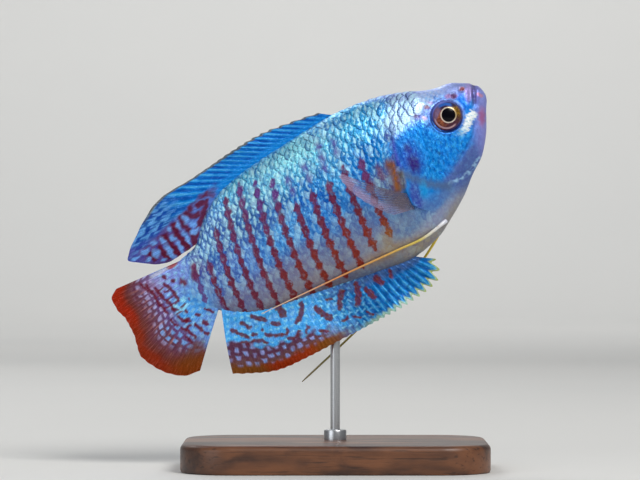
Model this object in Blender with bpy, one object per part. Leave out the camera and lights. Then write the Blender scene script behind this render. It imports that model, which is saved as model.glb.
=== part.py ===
"""A dwarf gourami as a still, life-size museum model, nose up as it swims, on a plain display stand.

The fish is worked out in its own frame, in millimetres: "back" runs from the tip of the snout to the
tail, "side" to its left and "up" to its back fin. An empty tips it nose up and lifts it over the stand.
"""

import math

import bmesh
import bpy
import numpy as np

MM = 0.001
SEAM = 0.3  # gap that touching pieces keep
ROUND = 42  # points round the body

# Pose and place over the stand
NOSE_UP = math.radians(34.25)
SNOUT_FORWARD = 26.7
SNOUT_HEIGHT = 65.6
TAIL_SWING = math.radians(20)  # the tail turns this far to the fish's left
SWING_FROM, SWING_TO = 30.0, 76.0

# Body: (back, up) of the upper and lower outline, and (back, half width)
BODY_LENGTH = 60.7
BACKLINE = (
    (0, 1.1), (1.0, 3.45), (2.4, 4.6), (4.0, 5.5), (7.7, 6.95), (11.2, 8.8), (15.8, 10.8), (19.3, 11.8),
    (24.8, 12.85), (33, 13.2), (42, 13.4), (47.5, 12.9), (50.2, 12.2), (52.4, 11.2), (54.7, 9.5), (56.6, 7.8),
    (58.3, 7.05), (60.7, 6.85),
)
BELLYLINE = (
    (0, 0.9), (0.3, -0.25), (1.0, -1.3), (2.2, -3.2), (3.7, -5.4), (6.5, -8.3), (9.6, -10.05), (13, -12.3),
    (17.4, -14.45), (21, -15.85), (26, -16.4), (33, -14.95), (37, -13.9), (45, -11.8), (50, -10.6), (54.5, -9.1),
    (58.5, -6.6), (60.1, -5.0), (60.7, -3.9),
)
HALF_WIDTH = (
    (0, 0.0), (0.3, 1.05), (0.8, 1.6), (1.6, 2.1), (4, 2.95), (7.9, 3.9), (12, 4.8), (18, 5.35), (25, 5.5), (33, 5.1),
    (42, 4.1), (50, 2.9), (56, 1.95), (60.7, 1.2),
)
WIDEST_ABOVE_MIDDLE = ((0, 0.02), (8, 0.05), (25, 0.14), (45, 0.10), (60.7, 0.02))
EDGE_SHARPNESS = ((0, 0.95), (10, 0.9), (25, 1.0), (45, 1.15), (60.7, 1.1))

# Where the head ends at the gill opening and the tail begins
GILL_BACK = 23.5
GILL_BOW = 5.6  # the gill opening bows this far back between nape and throat
TAIL_BACK = 52.5
TAIL_BOW = -1.5
BOW_REACH = 11.0

# Head
EYE_BACK, EYE_UP = 7.95, 1.1
EYE_RADIUS, EYE_DEPTH, EYE_STANDS_OUT = 2.8, 1.7, 0.75
MOUTH_CORNER = (2.95, -0.45)
MOUTH_FRONT = (0.75, 3.05)
MOUTH_SLIT = 0.34
LIP_RADIUS = 0.46
LIP_SUNK = 0.95  # share of the mouth's line up to the crown of the lips
NOSTRILS = ((2.95, 3.55, 0.3), (4.95, 3.45, 0.36))  # back, up, radius
GILL_COVER_CENTRE = (17.6, -3.4)
GILL_COVER_REACH = (
    (0, 2.7), (52, 3.7), (75, 5.1), (92, 6.5), (110, 6.0), (125, 4.5), (150, 3.4), (180, 3.1), (215, 3.7),
    (245, 5.5), (262, 7.0), (280, 7.2), (297, 6.8), (310, 5.8), (330, 3.7), (345, 2.9), (360, 2.7),
)
GILL_COVER_THICK, GILL_COVER_PROUD = 0.9, 0.18

# Fins: rays, span of the root on the body, and at stations from first to last ray the ray's angle
# above straight back, in degrees, and its length
FIN_ROOT_HALF, FIN_MEMBRANE_HALF, FIN_TIP_HALF, RAY_RIDGE = 0.45, 0.25, 0.15, 0.22
DORSAL = {
    "rays": 25, "rows": 8, "span": (24.9, 58.4),
    "angle": ((0, 42), (0.1, 36), (0.5, 34), (0.6, 32), (0.72, 26), (0.8, 11), (0.86, 1.5), (1, 0)),
    "length": (
        (0, 1.8), (0.1, 4.3), (0.2, 5.9), (0.3, 6.3), (0.5, 6.3), (0.6, 6.9), (0.72, 9.8), (0.8, 12.7),
        (0.86, 15.0), (0.93, 10.2), (1, 4.4),
    ),
    "notch": ((0, 0.3), (0.3, 0.14), (0.6, 0.03), (1, 0.02)),
    "curl": 0.02, "wave": 0.7, "waves": 2.2,
}
ANAL = {
    "rays": 33, "rows": 8, "span": (25.6, 60.2),
    "angle": (
        (0, -138), (0.03, -124), (0.06, -113), (0.2, -96), (0.45, -88), (0.7, -76), (0.88, -66), (1, -61),
    ),
    "length": (
        (0, 2.8), (0.03, 4.6), (0.06, 5.9), (0.2, 7.1), (0.45, 8.4), (0.7, 9.4), (0.86, 10.3), (0.95, 10.4),
        (1, 10.7),
    ),
    "notch": ((0, 0.34), (0.12, 0.2), (0.3, 0.07), (0.6, 0.03), (1, 0.02)),
    "curl": -0.03, "wave": 0.8, "waves": 2.6,
}
CAUDAL = {
    "rays": 16, "rows": 9, "root": ((61.2, 6.6), (61.6, 1.0), (60.85, -4.75)),
    "angle": (
        (0, 10.3), (0.05, 7.5), (0.12, 2), (0.25, -1.5), (0.4, -5.8), (0.5, -9.9), (0.6, -12.6), (0.75, -20.7),
        (0.9, -30.3), (1, -37.9),
    ),
    "length": (
        (0, 12.8), (0.05, 14.5), (0.12, 14.7), (0.25, 14.2), (0.4, 14.3), (0.5, 15.1), (0.6, 15.8), (0.75, 15.3),
        (0.9, 13.7), (1, 11.0),
    ),
    "notch": ((0, 0.03), (1, 0.03)),
    "curl": 0.0, "wave": 0.5, "waves": 1.3,
}
PECTORAL = {
    "rays": 10, "rows": 8, "root": ((22.1, -5.5), (22.8, -8.8)),
    "angle": ((0, 47), (0.25, 42), (0.5, 34), (0.75, 27), (1, 16)),
    "length": ((0, 11.2), (0.1, 11.6), (0.3, 10.2), (0.5, 7.9), (0.75, 5.2), (1, 2.8)),
    "notch": ((0, 0.02), (1, 0.04)),
    "curl": 0.03, "outward": 0.25,
}

# Feelers: (back, up) along each, and how far each stands off the mid-plane where the body is slim
FEELER_ROOT_RADIUS, FEELER_RADIUS, FEELER_TIP_RADIUS = 0.62, 0.4, 0.22
FEELER_RIGHT = ((18.3, -14.0), (22.8, -14.3), (28, -13.5), (37.4, -11.9), (47, -10.4), (54.2, -9.3))
FEELER_LEFT = ((18.3, -14.0), (21.6, -15.9), (26.5, -17.9), (35, -19.9), (44, -21.6), (55.7, -23.4))
FEELER_STEPS = 22
FEELER_SPLAY_LEFT = 6.4

# Stand
BASE_LENGTH, BASE_WIDTH, BASE_HEIGHT, BASE_CORNER = 54.0, 36.0, 5.0, 9.0
ROD_RADIUS, ROD_SIDE, ROD_SOCKET = 0.85, 1.9, 2.2
ROD_TOP = 40.5
COLLAR_RADIUS, COLLAR_HEIGHT = 2.0, 1.6


def along(stations, at):
    """Smooth curve through a few (place, value) stations that never overshoots them."""
    place, value = np.array(stations, float).T
    step = np.diff(place)
    chord = np.diff(value) / step
    slope = np.concatenate([chord[:1], np.zeros(len(chord) - 1), chord[-1:]])
    both = chord[:-1] * chord[1:]
    total = chord[:-1] + chord[1:]
    slope[1:-1] = np.where(both > 0, 2 * both / np.where(total == 0, 1, total), 0)
    at = np.asarray(at, float)
    i = np.clip(np.searchsorted(place, at) - 1, 0, len(step) - 1)
    t = (at - place[i]) / step[i]
    return (
        value[i] * (1 + 2 * t) * (1 - t) ** 2
        + value[i + 1] * t * t * (3 - 2 * t)
        + step[i] * t * (1 - t) * (slope[i] * (1 - t) - slope[i + 1] * t)
    )


def along_body(stations, back):
    """A body station curve read against the root of the distance back, so that the snout is round."""
    place, value = np.array(stations, float).T
    return along(np.column_stack([np.sqrt(place), value]), np.sqrt(np.clip(back, 0, BODY_LENGTH)))


def section(back, grown=0.0):
    """Middle height, half height, half width, skew and sharpness of the body at a distance back."""
    top = along_body(BACKLINE, back) + grown
    bottom = along_body(BELLYLINE, back) - grown
    width = along_body(HALF_WIDTH, back) + grown
    skew = along_body(WIDEST_ABOVE_MIDDLE, back)
    return (top + bottom) / 2, (top - bottom) / 2, width, skew, along_body(EDGE_SHARPNESS, back)


def body_point(back, turn, grown=0.0):
    """Points on the body where turn is 0 on the back, a quarter turn on the left flank, half on the belly."""
    middle, half, width, skew, sharp = section(back, grown)
    up = middle + half * (np.cos(turn) + skew * np.sin(turn) ** 2)
    side = width * np.sign(np.sin(turn)) * np.abs(np.sin(turn)) ** sharp
    return np.stack(np.broadcast_arrays(back, side, up), -1)


def flank(back, up):
    """Half width of the body at one height: the cross-section's formula turned round."""
    middle, half, width, skew, sharp = section(back)
    v = np.clip((np.asarray(up, float) - middle) / half, -1, 1)
    cosine = (1 - np.sqrt(1 - 4 * skew * (v - skew))) / (2 * skew)
    return width * np.sqrt(np.clip(1 - cosine**2, 0, 1)) ** sharp


def swing(points):
    """Bends the straight fish to its left, more and more towards the tail, without stretching it."""
    points = np.array(points, float)
    steps = np.linspace(0, SWING_TO, 800)
    heading = TAIL_SWING * np.clip((steps - SWING_FROM) / (SWING_TO - SWING_FROM), 0, 1) ** 2
    reach = np.concatenate([[0], np.cumsum(np.cos(heading[:-1]) * np.diff(steps))])
    drift = np.concatenate([[0], np.cumsum(np.sin(heading[:-1]) * np.diff(steps))])
    back, side = points[:, 0], points[:, 1]
    at = np.interp(back, steps, heading)
    past = np.where(back < 0, back, np.maximum(back - SWING_TO, 0))
    points[:, 0] = np.interp(back, steps, reach) + np.cos(at) * past - side * np.sin(at)
    points[:, 1] = np.interp(back, steps, drift) + np.sin(at) * past + side * np.cos(at)
    return points


def fish_space(points):
    """(back, side, up) in millimetres, bent, to the fish empty's metres, where X runs forward."""
    return swing(points) * (-MM, MM, MM)


def material(name, colour, roughness, metallic=0.0):
    made = bpy.data.materials.new(name)
    made.use_nodes = True
    shader = made.node_tree.nodes["Principled BSDF"]
    shader.inputs["Base Color"].default_value = (*colour, 1)
    shader.inputs["Roughness"].default_value = roughness
    shader.inputs["Metallic"].default_value = metallic
    return made


def make_object(name, points, faces, finish=None, parent=None):
    mesh = bpy.data.meshes.new(name)
    mesh.from_pydata(np.asarray(points).tolist(), [], faces)
    tidy = bmesh.new()
    tidy.from_mesh(mesh)
    bmesh.ops.recalc_face_normals(tidy, faces=tidy.faces)
    tidy.to_mesh(mesh)
    tidy.free()
    made = bpy.data.objects.new(name, mesh)
    bpy.context.scene.collection.objects.link(made)
    made.parent = parent
    if finish:
        mesh.materials.append(finish)
    return made


def shade_round(made, angle=40):
    made.data.shade_smooth()
    made.data.set_sharp_from_angle(angle=math.radians(angle))
    return made


def tube_faces(rings, around):
    """Triangles between rings of equal count, and a fan to a pole before the first and after the last."""
    faces = []
    for i in range(rings - 1):
        for j in range(around):
            a, b = 1 + i * around + j, 1 + i * around + (j + 1) % around
            faces += [(a, b, b + around), (a, b + around, a + around)]
    last = 1 + (rings - 1) * around
    for j in range(around):
        faces.append((0, 1 + (j + 1) % around, 1 + j))
        faces.append((last + around, last + j, last + (j + 1) % around))
    return faces


def bow_at(back):
    """How far the cross-sections bow back at mid-height, so that seams follow the gill and tail."""
    gill = GILL_BOW * np.exp(-(((back - GILL_BACK) / BOW_REACH) ** 2) * 2)
    tail = TAIL_BOW * np.exp(-(((back - TAIL_BACK) / BOW_REACH) ** 2) * 2)
    return (gill + tail) * np.clip(back / GILL_BACK, 0, 1) ** 2


def body_ring(back, grown=0.0):
    turn = np.linspace(0, 2 * math.pi, ROUND, endpoint=False)
    return body_point(np.clip(back - bow_at(back) * np.cos(turn) ** 2, 0, BODY_LENGTH), turn, grown)


def end_wall(back, shares):
    """Rings that close a cut across the body; walls of neighbouring pieces are the same shape."""
    ring = body_ring(back)
    middle = section(back)[0]
    walls = []
    for share in shares:
        wall = (ring - (back, 0, middle)) * (share**2, share, share) + (back, 0, middle)
        walls.append(wall)
    return walls


def body_piece(name, front, rear, count, finish, fish):
    """A length of the body between two cuts; front 0 starts at the tip of the snout."""
    inner = (0.35, 0.7)
    stations = np.linspace(math.sqrt(max(front, 0.04)), math.sqrt(rear), count) ** 2
    rings = [body_ring(back) for back in stations]
    if front > 0:
        rings = end_wall(front, inner) + rings
        start = (front, 0, section(front)[0])
    else:
        start = (0, 0, section(0)[0])
    rings += end_wall(rear, inner[::-1])
    finish_at = (rear, 0, section(rear)[0])
    points = np.vstack([[start], *rings, [finish_at]])
    return shade_round(
        make_object(name, fish_space(points), tube_faces(len(rings), ROUND), finish, fish)
    )


def ellipsoid(name, centre, radii, fish, finish=None, rings=11, around=22):
    """A ball squashed on its axes. Its poles lie on the line to the fish's side."""
    tilt = np.linspace(0, math.pi, rings + 2)[1:-1, None]
    turn = np.linspace(0, 2 * math.pi, around, endpoint=False)[None]
    grid = np.stack(
        np.broadcast_arrays(np.sin(tilt) * np.cos(turn), np.cos(tilt), np.sin(tilt) * np.sin(turn)), -1
    ).reshape(-1, 3)
    points = np.vstack([[(0, 1, 0)], grid, [(0, -1, 0)]]) * radii + centre
    return make_object(name, fish_space(points), tube_faces(rings, around), finish, fish)


def pipe(name, path, radii, fish, finish=None, sides=8):
    """A round tube along a path, with its radius at each point, closed by a point at each end."""
    path = np.asarray(path, float)
    heading = np.gradient(path, axis=0)
    heading /= np.linalg.norm(heading, axis=1)[:, None]
    across = np.cross(heading, (0.13, 0.31, 0.94))
    across /= np.linalg.norm(across, axis=1)[:, None]
    other = np.cross(heading, across)
    turn = np.linspace(0, 2 * math.pi, sides, endpoint=False)
    rings = [
        p + r * (np.cos(turn)[:, None] * a + np.sin(turn)[:, None] * b)
        for p, r, a, b in zip(path, radii, across, other)
    ]
    tips = [path[0] - heading[0] * radii[0] * 0.5, path[-1] + heading[-1] * radii[-1]]
    points = np.vstack([tips[:1], *rings, tips[1:]])
    return make_object(name, fish_space(points), tube_faces(len(rings), sides), finish, fish)


def combine(made, operation, others, solver="EXACT"):
    """Joins other closed meshes to an object, or cuts them from it, applies that and removes them."""
    group = bpy.data.collections.new("operands")
    bpy.context.scene.collection.children.link(group)
    for other in others:
        group.objects.link(other)
    modifier = made.modifiers.new(operation.lower(), "BOOLEAN")
    modifier.operation = operation
    modifier.solver = solver
    modifier.operand_type = "COLLECTION"
    modifier.collection = group
    bpy.context.view_layer.update()
    result = bpy.data.meshes.new_from_object(made.evaluated_get(bpy.context.evaluated_depsgraph_get()))
    made.modifiers.clear()
    made.data = result
    for other in others:
        bpy.data.objects.remove(other)
    bpy.data.collections.remove(group)
    return keep_largest(made)


def keep_largest(made):
    """Leaves only the largest closed surface of a mesh."""
    mesh = bmesh.new()
    mesh.from_mesh(made.data)
    left = set(mesh.faces)
    groups = []
    while left:
        stack = [left.pop()]
        group = set(stack)
        while stack:
            for edge in stack.pop().edges:
                for face in edge.link_faces:
                    if face in left:
                        left.remove(face)
                        group.add(face)
                        stack.append(face)
        groups.append(group)
    groups.sort(key=lambda group: sum(face.calc_area() for face in group))
    loose = [face for group in groups[:-1] for face in group]
    bmesh.ops.delete(mesh, geom=loose, context="FACES")
    mesh.to_mesh(made.data)
    mesh.free()
    return made


def sheet_solid(name, middle, half, finish, fish):
    """A closed thin plate round a (column, row, 3) mid-surface, with the same triangles on both faces.

    half gives the plate's half thickness at each point, along the normal of the mid-surface.
    """
    columns, rows, _ = middle.shape
    along_root = np.gradient(middle, axis=0)
    along_ray = np.gradient(middle, axis=1)
    normal = np.cross(along_root, along_ray)
    normal /= np.linalg.norm(normal, axis=2)[:, :, None]
    offset = normal * half[:, :, None]
    points = np.vstack([(middle + offset).reshape(-1, 3), (middle - offset).reshape(-1, 3)])
    count = columns * rows
    faces = []
    for i in range(columns - 1):
        for j in range(rows - 1):
            a, b, c, d = i * rows + j, (i + 1) * rows + j, (i + 1) * rows + j + 1, i * rows + j + 1
            for t in ((a, b, c), (a, c, d)):
                faces += [t, tuple(k + count for k in reversed(t))]
    rim = (
        [i * rows for i in range(columns)]
        + [(columns - 1) * rows + j for j in range(1, rows)]
        + [i * rows + rows - 1 for i in range(columns - 2, -1, -1)]
        + [j for j in range(rows - 2, 0, -1)]
    )
    for a, b in zip(rim, rim[1:] + rim[:1]):
        faces += [(b, a, a + count), (b, a + count, b + count)]
    return shade_round(make_object(name, fish_space(points), faces, finish, fish), 60)


def fin_sheet(fin, root):
    """Mid-surface and half thickness of a fin: a ray at every even column, membrane between."""
    columns = 2 * fin["rays"] - 1
    u = np.linspace(0, 1, columns)
    v = np.linspace(0, 1, fin["rows"])[None]
    angle = np.radians(along(fin["angle"], u))
    is_ray = np.arange(columns) % 2 == 0
    reach = along(fin["length"], u) * np.where(is_ray, 1, 1 - along(fin["notch"], u))
    out = np.stack([np.cos(angle), np.zeros(columns), np.sin(angle)], -1)[:, None]
    curl = np.stack([np.sin(angle), np.zeros(columns), -np.cos(angle)], -1)[:, None] * fin["curl"]
    far = (reach[:, None] * v)[:, :, None]
    middle = root(u)[:, None] + far * out - far**2 * curl / 4
    thick = FIN_MEMBRANE_HALF + (FIN_ROOT_HALF - FIN_MEMBRANE_HALF) * np.exp(-v * 7)
    thick = np.where(v == 1, FIN_TIP_HALF, thick)
    return u, v, middle, thick + is_ray[:, None] * RAY_RIDGE * (1 - 0.5 * v)


def edge_fin(name, fin, outline, sign, finish, fish):
    """A fin that stands on the back or belly outline, waving a little from side to side."""
    def root(u):
        back = fin["span"][0] + (fin["span"][1] - fin["span"][0]) * u
        slope = (along_body(outline, back + 0.1) - along_body(outline, back - 0.1)) / 0.2
        lift = sign * (SEAM + 0.05) * np.sqrt(1 + slope**2)
        return np.stack([back, np.zeros_like(u), along_body(outline, back) + lift], -1)

    u, v, middle, half = fin_sheet(fin, root)
    middle[:, :, 1] += fin["wave"] * np.sin(2 * math.pi * fin["waves"] * u)[:, None] * v**1.5
    return sheet_solid(name, middle, half, finish, fish)


def tail_fin(name, finish, fish):
    fin = CAUDAL

    def root(u):
        top, mid, low = np.array(fin["root"], float)
        place = (1 - u)[:, None] ** 2 * top + (2 * u * (1 - u))[:, None] * (2 * mid - (top + low) / 2)
        place = place + u[:, None] ** 2 * low
        return np.stack([place[:, 0], np.zeros_like(u), place[:, 1]], -1)

    u, v, middle, half = fin_sheet(fin, root)
    middle[:, :, 1] += fin["wave"] * np.sin(2 * math.pi * fin["waves"] * u)[:, None] * v**1.5
    return sheet_solid(name, middle, half, finish, fish)


def breast_fin(name, side, finish, fish):
    """A pectoral fin, raised and held a little off the flank; side is 1 on the left and -1 on the right."""
    fin = PECTORAL

    def root(u):
        top, low = np.array(fin["root"], float)
        place = top + u[:, None] * (low - top)
        out = flank(place[:, 0], place[:, 1]) + SEAM + FIN_ROOT_HALF + RAY_RIDGE
        return np.stack([place[:, 0], out, place[:, 1]], -1)

    u, v, middle, half = fin_sheet(fin, root)
    reach = along(fin["length"], u)[:, None] * v
    middle[:, :, 1] += reach * fin["outward"]
    middle[:, :, 1] *= side
    return sheet_solid(name, middle, half, finish, fish)


def feeler_path(stations, side, splay):
    """A feeler's points: smooth through its stations, off the flank, and splayed where below the belly."""
    place = np.array(stations, float)
    span = np.concatenate([[0], np.cumsum(np.hypot(*np.diff(place, axis=0).T))])
    at = np.linspace(0, span[-1], FEELER_STEPS)
    back = along(np.column_stack([span, place[:, 0]]), at)
    up = along(np.column_stack([span, place[:, 1]]), at)
    off_body = flank(back, up) + SEAM + FEELER_ROOT_RADIUS + 0.15
    clear = np.maximum(off_body, FIN_ROOT_HALF + RAY_RIDGE + FEELER_ROOT_RADIUS + SEAM)
    if splay:
        share = np.clip(at / span[-1], 0, 1)
        clear = np.maximum(clear, clear[0] + (splay - clear[0]) * np.sin(share * math.pi / 2))
    smooth = np.convolve(np.pad(clear, 2, mode="edge"), np.ones(5) / 5, mode="valid")
    smooth[0] = clear[0]
    return np.stack([back, side * np.maximum(smooth, clear - 0.1), up], -1)


def feeler(name, stations, side, splay, finish, fish):
    path = feeler_path(stations, side, splay)
    share = np.linspace(0, 1, len(path))
    radii = FEELER_RADIUS + (FEELER_ROOT_RADIUS - FEELER_RADIUS) * np.exp(-share * 14)
    radii += (FEELER_TIP_RADIUS - FEELER_RADIUS) * share**3
    return shade_round(pipe(name, path, radii, fish, finish, 8), 60)


def gill_plate(name, side, inner, outer, grown, finish, fish):
    """A plate that follows the cheek: inner and outer are its faces' heights over the flank."""
    turns, rings = 32, 3
    turn = np.linspace(0, 2 * math.pi, turns, endpoint=False)
    reach = along(GILL_COVER_REACH, np.degrees(turn)) + grown
    faces = tube_faces(2 * rings, turns)

    def face(height):
        rows = []
        for share in np.linspace(1, 0, rings + 1)[:-1]:
            back = GILL_COVER_CENTRE[0] + reach * np.cos(turn) * share
            up = GILL_COVER_CENTRE[1] + reach * np.sin(turn) * share
            rows.append(np.stack([back, side * (flank(back, up) + height), up], -1))
        return rows

    def pole(height):
        out = flank(*GILL_COVER_CENTRE) + height
        return [(GILL_COVER_CENTRE[0], side * out, GILL_COVER_CENTRE[1])]

    points = np.vstack([pole(inner), *face(inner)[::-1], *face(outer), pole(outer)])
    return shade_round(make_object(name, fish_space(points), faces, finish, fish))


def eye_centre(side):
    out = float(flank(EYE_BACK, EYE_UP))
    return (EYE_BACK, side * (out + EYE_STANDS_OUT - EYE_DEPTH), EYE_UP)


def mouth_frame():
    """The mouth's corner, and unit vectors along its line and across it, in (back, up)."""
    corner, front = np.array(MOUTH_CORNER), np.array(MOUTH_FRONT)
    line = (front - corner) / np.linalg.norm(front - corner)
    return corner, line, np.array([line[1], -line[0]])


def mouth_reach(offset):
    """How far the mouth's line, moved across by an offset, runs from its corner to the snout's outline."""
    corner, line, across = mouth_frame()
    steps = np.linspace(0, 6, 600)
    back, up = (corner + across * offset + line * steps[:, None]).T
    return steps[(back > 0) & (up < along_body(BACKLINE, back))].max()


def lip(name, offset, fish):
    """A soft roll round one side of the mouth's slit, from one corner to the other."""
    corner, line, across = mouth_frame()
    length = mouth_reach(offset) * LIP_SUNK
    share = np.linspace(-1, 1, 17)
    place = corner + line * (length * np.cos(share * math.pi / 2))[:, None] + across * offset
    out = flank(np.clip(place[:, 0], 0.02, None), place[:, 1]) * 0.92
    path = np.stack([place[:, 0], out * np.sign(share), place[:, 1]], -1)
    radii = LIP_RADIUS * (0.3 + 0.7 * np.cos(share * math.pi / 2))
    return pipe(name, path, radii, fish, sides=8)


def mouth_cutter(fish):
    """A thin slab along the mouth's line that opens the lips back to the corners."""
    corner, line, across = mouth_frame()
    start, end = corner, corner + line * 7
    outline = [start + across * MOUTH_SLIT / 2, end + across * MOUTH_SLIT / 2]
    outline += [end - across * MOUTH_SLIT / 2, start - across * MOUTH_SLIT / 2]
    points = [(p[0], side, p[1]) for side in (-4, 4) for p in outline]
    faces = [(0, 1, 2, 3), (7, 6, 5, 4)]
    faces += [(i, i + 4, (i + 1) % 4 + 4, (i + 1) % 4) for i in range(4)]
    return make_object("slit", fish_space(points), faces, None, fish)


def head(finish, fish):
    made = body_piece("head", 0, GILL_BACK, 27, finish, fish)
    lips = [lip("lip", offset, fish) for offset in (0.52, -0.52)]
    combine(made, "UNION", lips)
    cutters = [mouth_cutter(fish)]
    for side in (-1, 1):
        radii = np.array([EYE_RADIUS, EYE_DEPTH, EYE_RADIUS]) + SEAM
        cutters.append(ellipsoid("socket", eye_centre(side), radii, fish))
        inner = -GILL_COVER_THICK + GILL_COVER_PROUD - SEAM
        cutters.append(gill_plate("recess", side, inner, 2.0, SEAM, None, fish))
        for back, up, radius in NOSTRILS:
            centre = (back, side * float(flank(back, up)), up)
            cutters.append(ellipsoid("nostril", centre, (radius, 0.7, radius), fish, rings=6, around=12))
    combine(made, "DIFFERENCE", cutters)
    return shade_round(made)


def rod_place():
    """The rod's line, straight up in the stand's own frame."""
    return 0.0, ROD_SIDE


def cylinder(name, radius, bottom, top, at, finish=None, sides=24):
    mesh = bmesh.new()
    bmesh.ops.create_cone(
        mesh, cap_ends=True, segments=sides, radius1=radius * MM, radius2=radius * MM, depth=(top - bottom) * MM
    )
    data = bpy.data.meshes.new(name)
    mesh.to_mesh(data)
    mesh.free()
    made = bpy.data.objects.new(name, data)
    bpy.context.scene.collection.objects.link(made)
    made.location = (at[0] * MM, at[1] * MM, (top + bottom) / 2 * MM)
    if finish:
        data.materials.append(finish)
    bpy.context.view_layer.update()
    return made


def stand_base(finish):
    """A flat block with round corners and a small bevel, with a socket for the rod."""
    corners = []
    for k, (sx, sy) in enumerate(((1, 1), (-1, 1), (-1, -1), (1, -1))):
        for step in range(7):
            turn = math.radians(90 * k + 15 * step)
            x = sx * (BASE_LENGTH / 2 - BASE_CORNER) + BASE_CORNER * math.cos(turn)
            y = sy * (BASE_WIDTH / 2 - BASE_CORNER) + BASE_CORNER * math.sin(turn)
            corners.append((x * MM, y * MM, 0))
    mesh = bmesh.new()
    floor = mesh.faces.new([mesh.verts.new(c) for c in corners])
    grown = bmesh.ops.extrude_face_region(mesh, geom=[floor])
    lifted = [v for v in grown["geom"] if isinstance(v, bmesh.types.BMVert)]
    bmesh.ops.translate(mesh, verts=lifted, vec=(0, 0, BASE_HEIGHT * MM))
    top = [e for e in mesh.edges if all(v.co.z > 0 for v in e.verts)]
    bmesh.ops.bevel(mesh, geom=top, offset=0.8 * MM, segments=3, profile=0.5, affect="EDGES")
    bmesh.ops.recalc_face_normals(mesh, faces=mesh.faces)
    data = bpy.data.meshes.new("stand_base")
    mesh.to_mesh(data)
    mesh.free()
    data.materials.append(finish)
    made = bpy.data.objects.new("stand_base", data)
    bpy.context.scene.collection.objects.link(made)
    hole = cylinder("hole", ROD_RADIUS + SEAM, BASE_HEIGHT - ROD_SOCKET, BASE_HEIGHT + 2, rod_place())
    return shade_round(combine(made, "DIFFERENCE", [hole]), 30)


def stand_collar(finish):
    ring = cylinder(
        "stand_collar", COLLAR_RADIUS, BASE_HEIGHT + SEAM, BASE_HEIGHT + SEAM + COLLAR_HEIGHT, rod_place(), finish, 32
    )
    hole = cylinder("hole", ROD_RADIUS + SEAM, BASE_HEIGHT - 1, BASE_HEIGHT + 5, rod_place(), sides=32)
    return shade_round(combine(ring, "DIFFERENCE", [hole]), 30)


def main():
    for old in list(bpy.data.objects):
        bpy.data.objects.remove(old)

    scales = material("scales", (0.13, 0.42, 0.72), 0.35)
    blue_fin = material("blue_fin", (0.08, 0.35, 0.75), 0.4)
    red_fin = material("red_fin", (0.45, 0.12, 0.06), 0.4)
    clear_fin = material("clear_fin", (0.62, 0.55, 0.5), 0.35)
    feeler_skin = material("feeler_skin", (0.8, 0.42, 0.06), 0.4)
    eye_surface = material("eye_surface", (0.25, 0.1, 0.03), 0.08)
    wood = material("stand_wood", (0.11, 0.06, 0.035), 0.45)
    steel = material("stand_steel", (0.6, 0.6, 0.6), 0.3, 1.0)

    fish = bpy.data.objects.new("fish", None)
    bpy.context.scene.collection.objects.link(fish)
    fish.location = (SNOUT_FORWARD * MM, 0, SNOUT_HEIGHT * MM)
    fish.rotation_euler = (0, -NOSE_UP, 0)
    bpy.context.view_layer.update()

    head(scales, fish)
    torso = body_piece("torso", GILL_BACK + SEAM * 1.3, TAIL_BACK, 22, scales, fish)
    body_piece("tail", TAIL_BACK + SEAM, BODY_LENGTH - 0.05, 10, scales, fish)
    for side, word in ((-1, "right"), (1, "left")):
        radii = (EYE_RADIUS, EYE_DEPTH, EYE_RADIUS)
        shade_round(ellipsoid("eye_" + word, eye_centre(side), radii, fish, eye_surface))
        inner = -GILL_COVER_THICK + GILL_COVER_PROUD
        gill_plate("gill_cover_" + word, side, inner, GILL_COVER_PROUD, 0, scales, fish)
        breast_fin("pectoral_fin_" + word, side, clear_fin, fish)
    edge_fin("dorsal_fin", DORSAL, BACKLINE, 1, blue_fin, fish)
    edge_fin("anal_fin", ANAL, BELLYLINE, -1, blue_fin, fish)
    tail_fin("caudal_fin", red_fin, fish)
    feeler("feeler_right", FEELER_RIGHT, -1, 0, feeler_skin, fish)
    feeler("feeler_left", FEELER_LEFT, 1, FEELER_SPLAY_LEFT, feeler_skin, fish)

    hole = cylinder("hole", ROD_RADIUS + SEAM, 0, ROD_TOP + SEAM, rod_place())
    combine(torso, "DIFFERENCE", [hole])
    shade_round(torso)
    rod_bottom = BASE_HEIGHT - ROD_SOCKET + SEAM
    shade_round(cylinder("stand_rod", ROD_RADIUS, rod_bottom, ROD_TOP, rod_place(), steel), 30)
    stand_base(wood)
    stand_collar(steel)


main()
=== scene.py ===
# %% [markdown]
# # A dwarf gourami on a display stand
#
# The object is a life-size model of a small, tall, flat fish: a male dwarf gourami, 7.5 cm long, held over
# a wooden base by one steel rod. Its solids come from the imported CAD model, which is loaded here as the
# frame. The soft body is one skin with solid scales over it, and the fins, eyes and feelers are pieces of
# their own.
#
# Every shape below is a formula on a grid of numbers. The formulas are written in the fish's own space:
# millimetres *back* from the tip of the snout, to its left *side*, and *up* from its middle line. One
# function bends that straight fish, lifts its head and sets it over the stand.

import math

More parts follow.
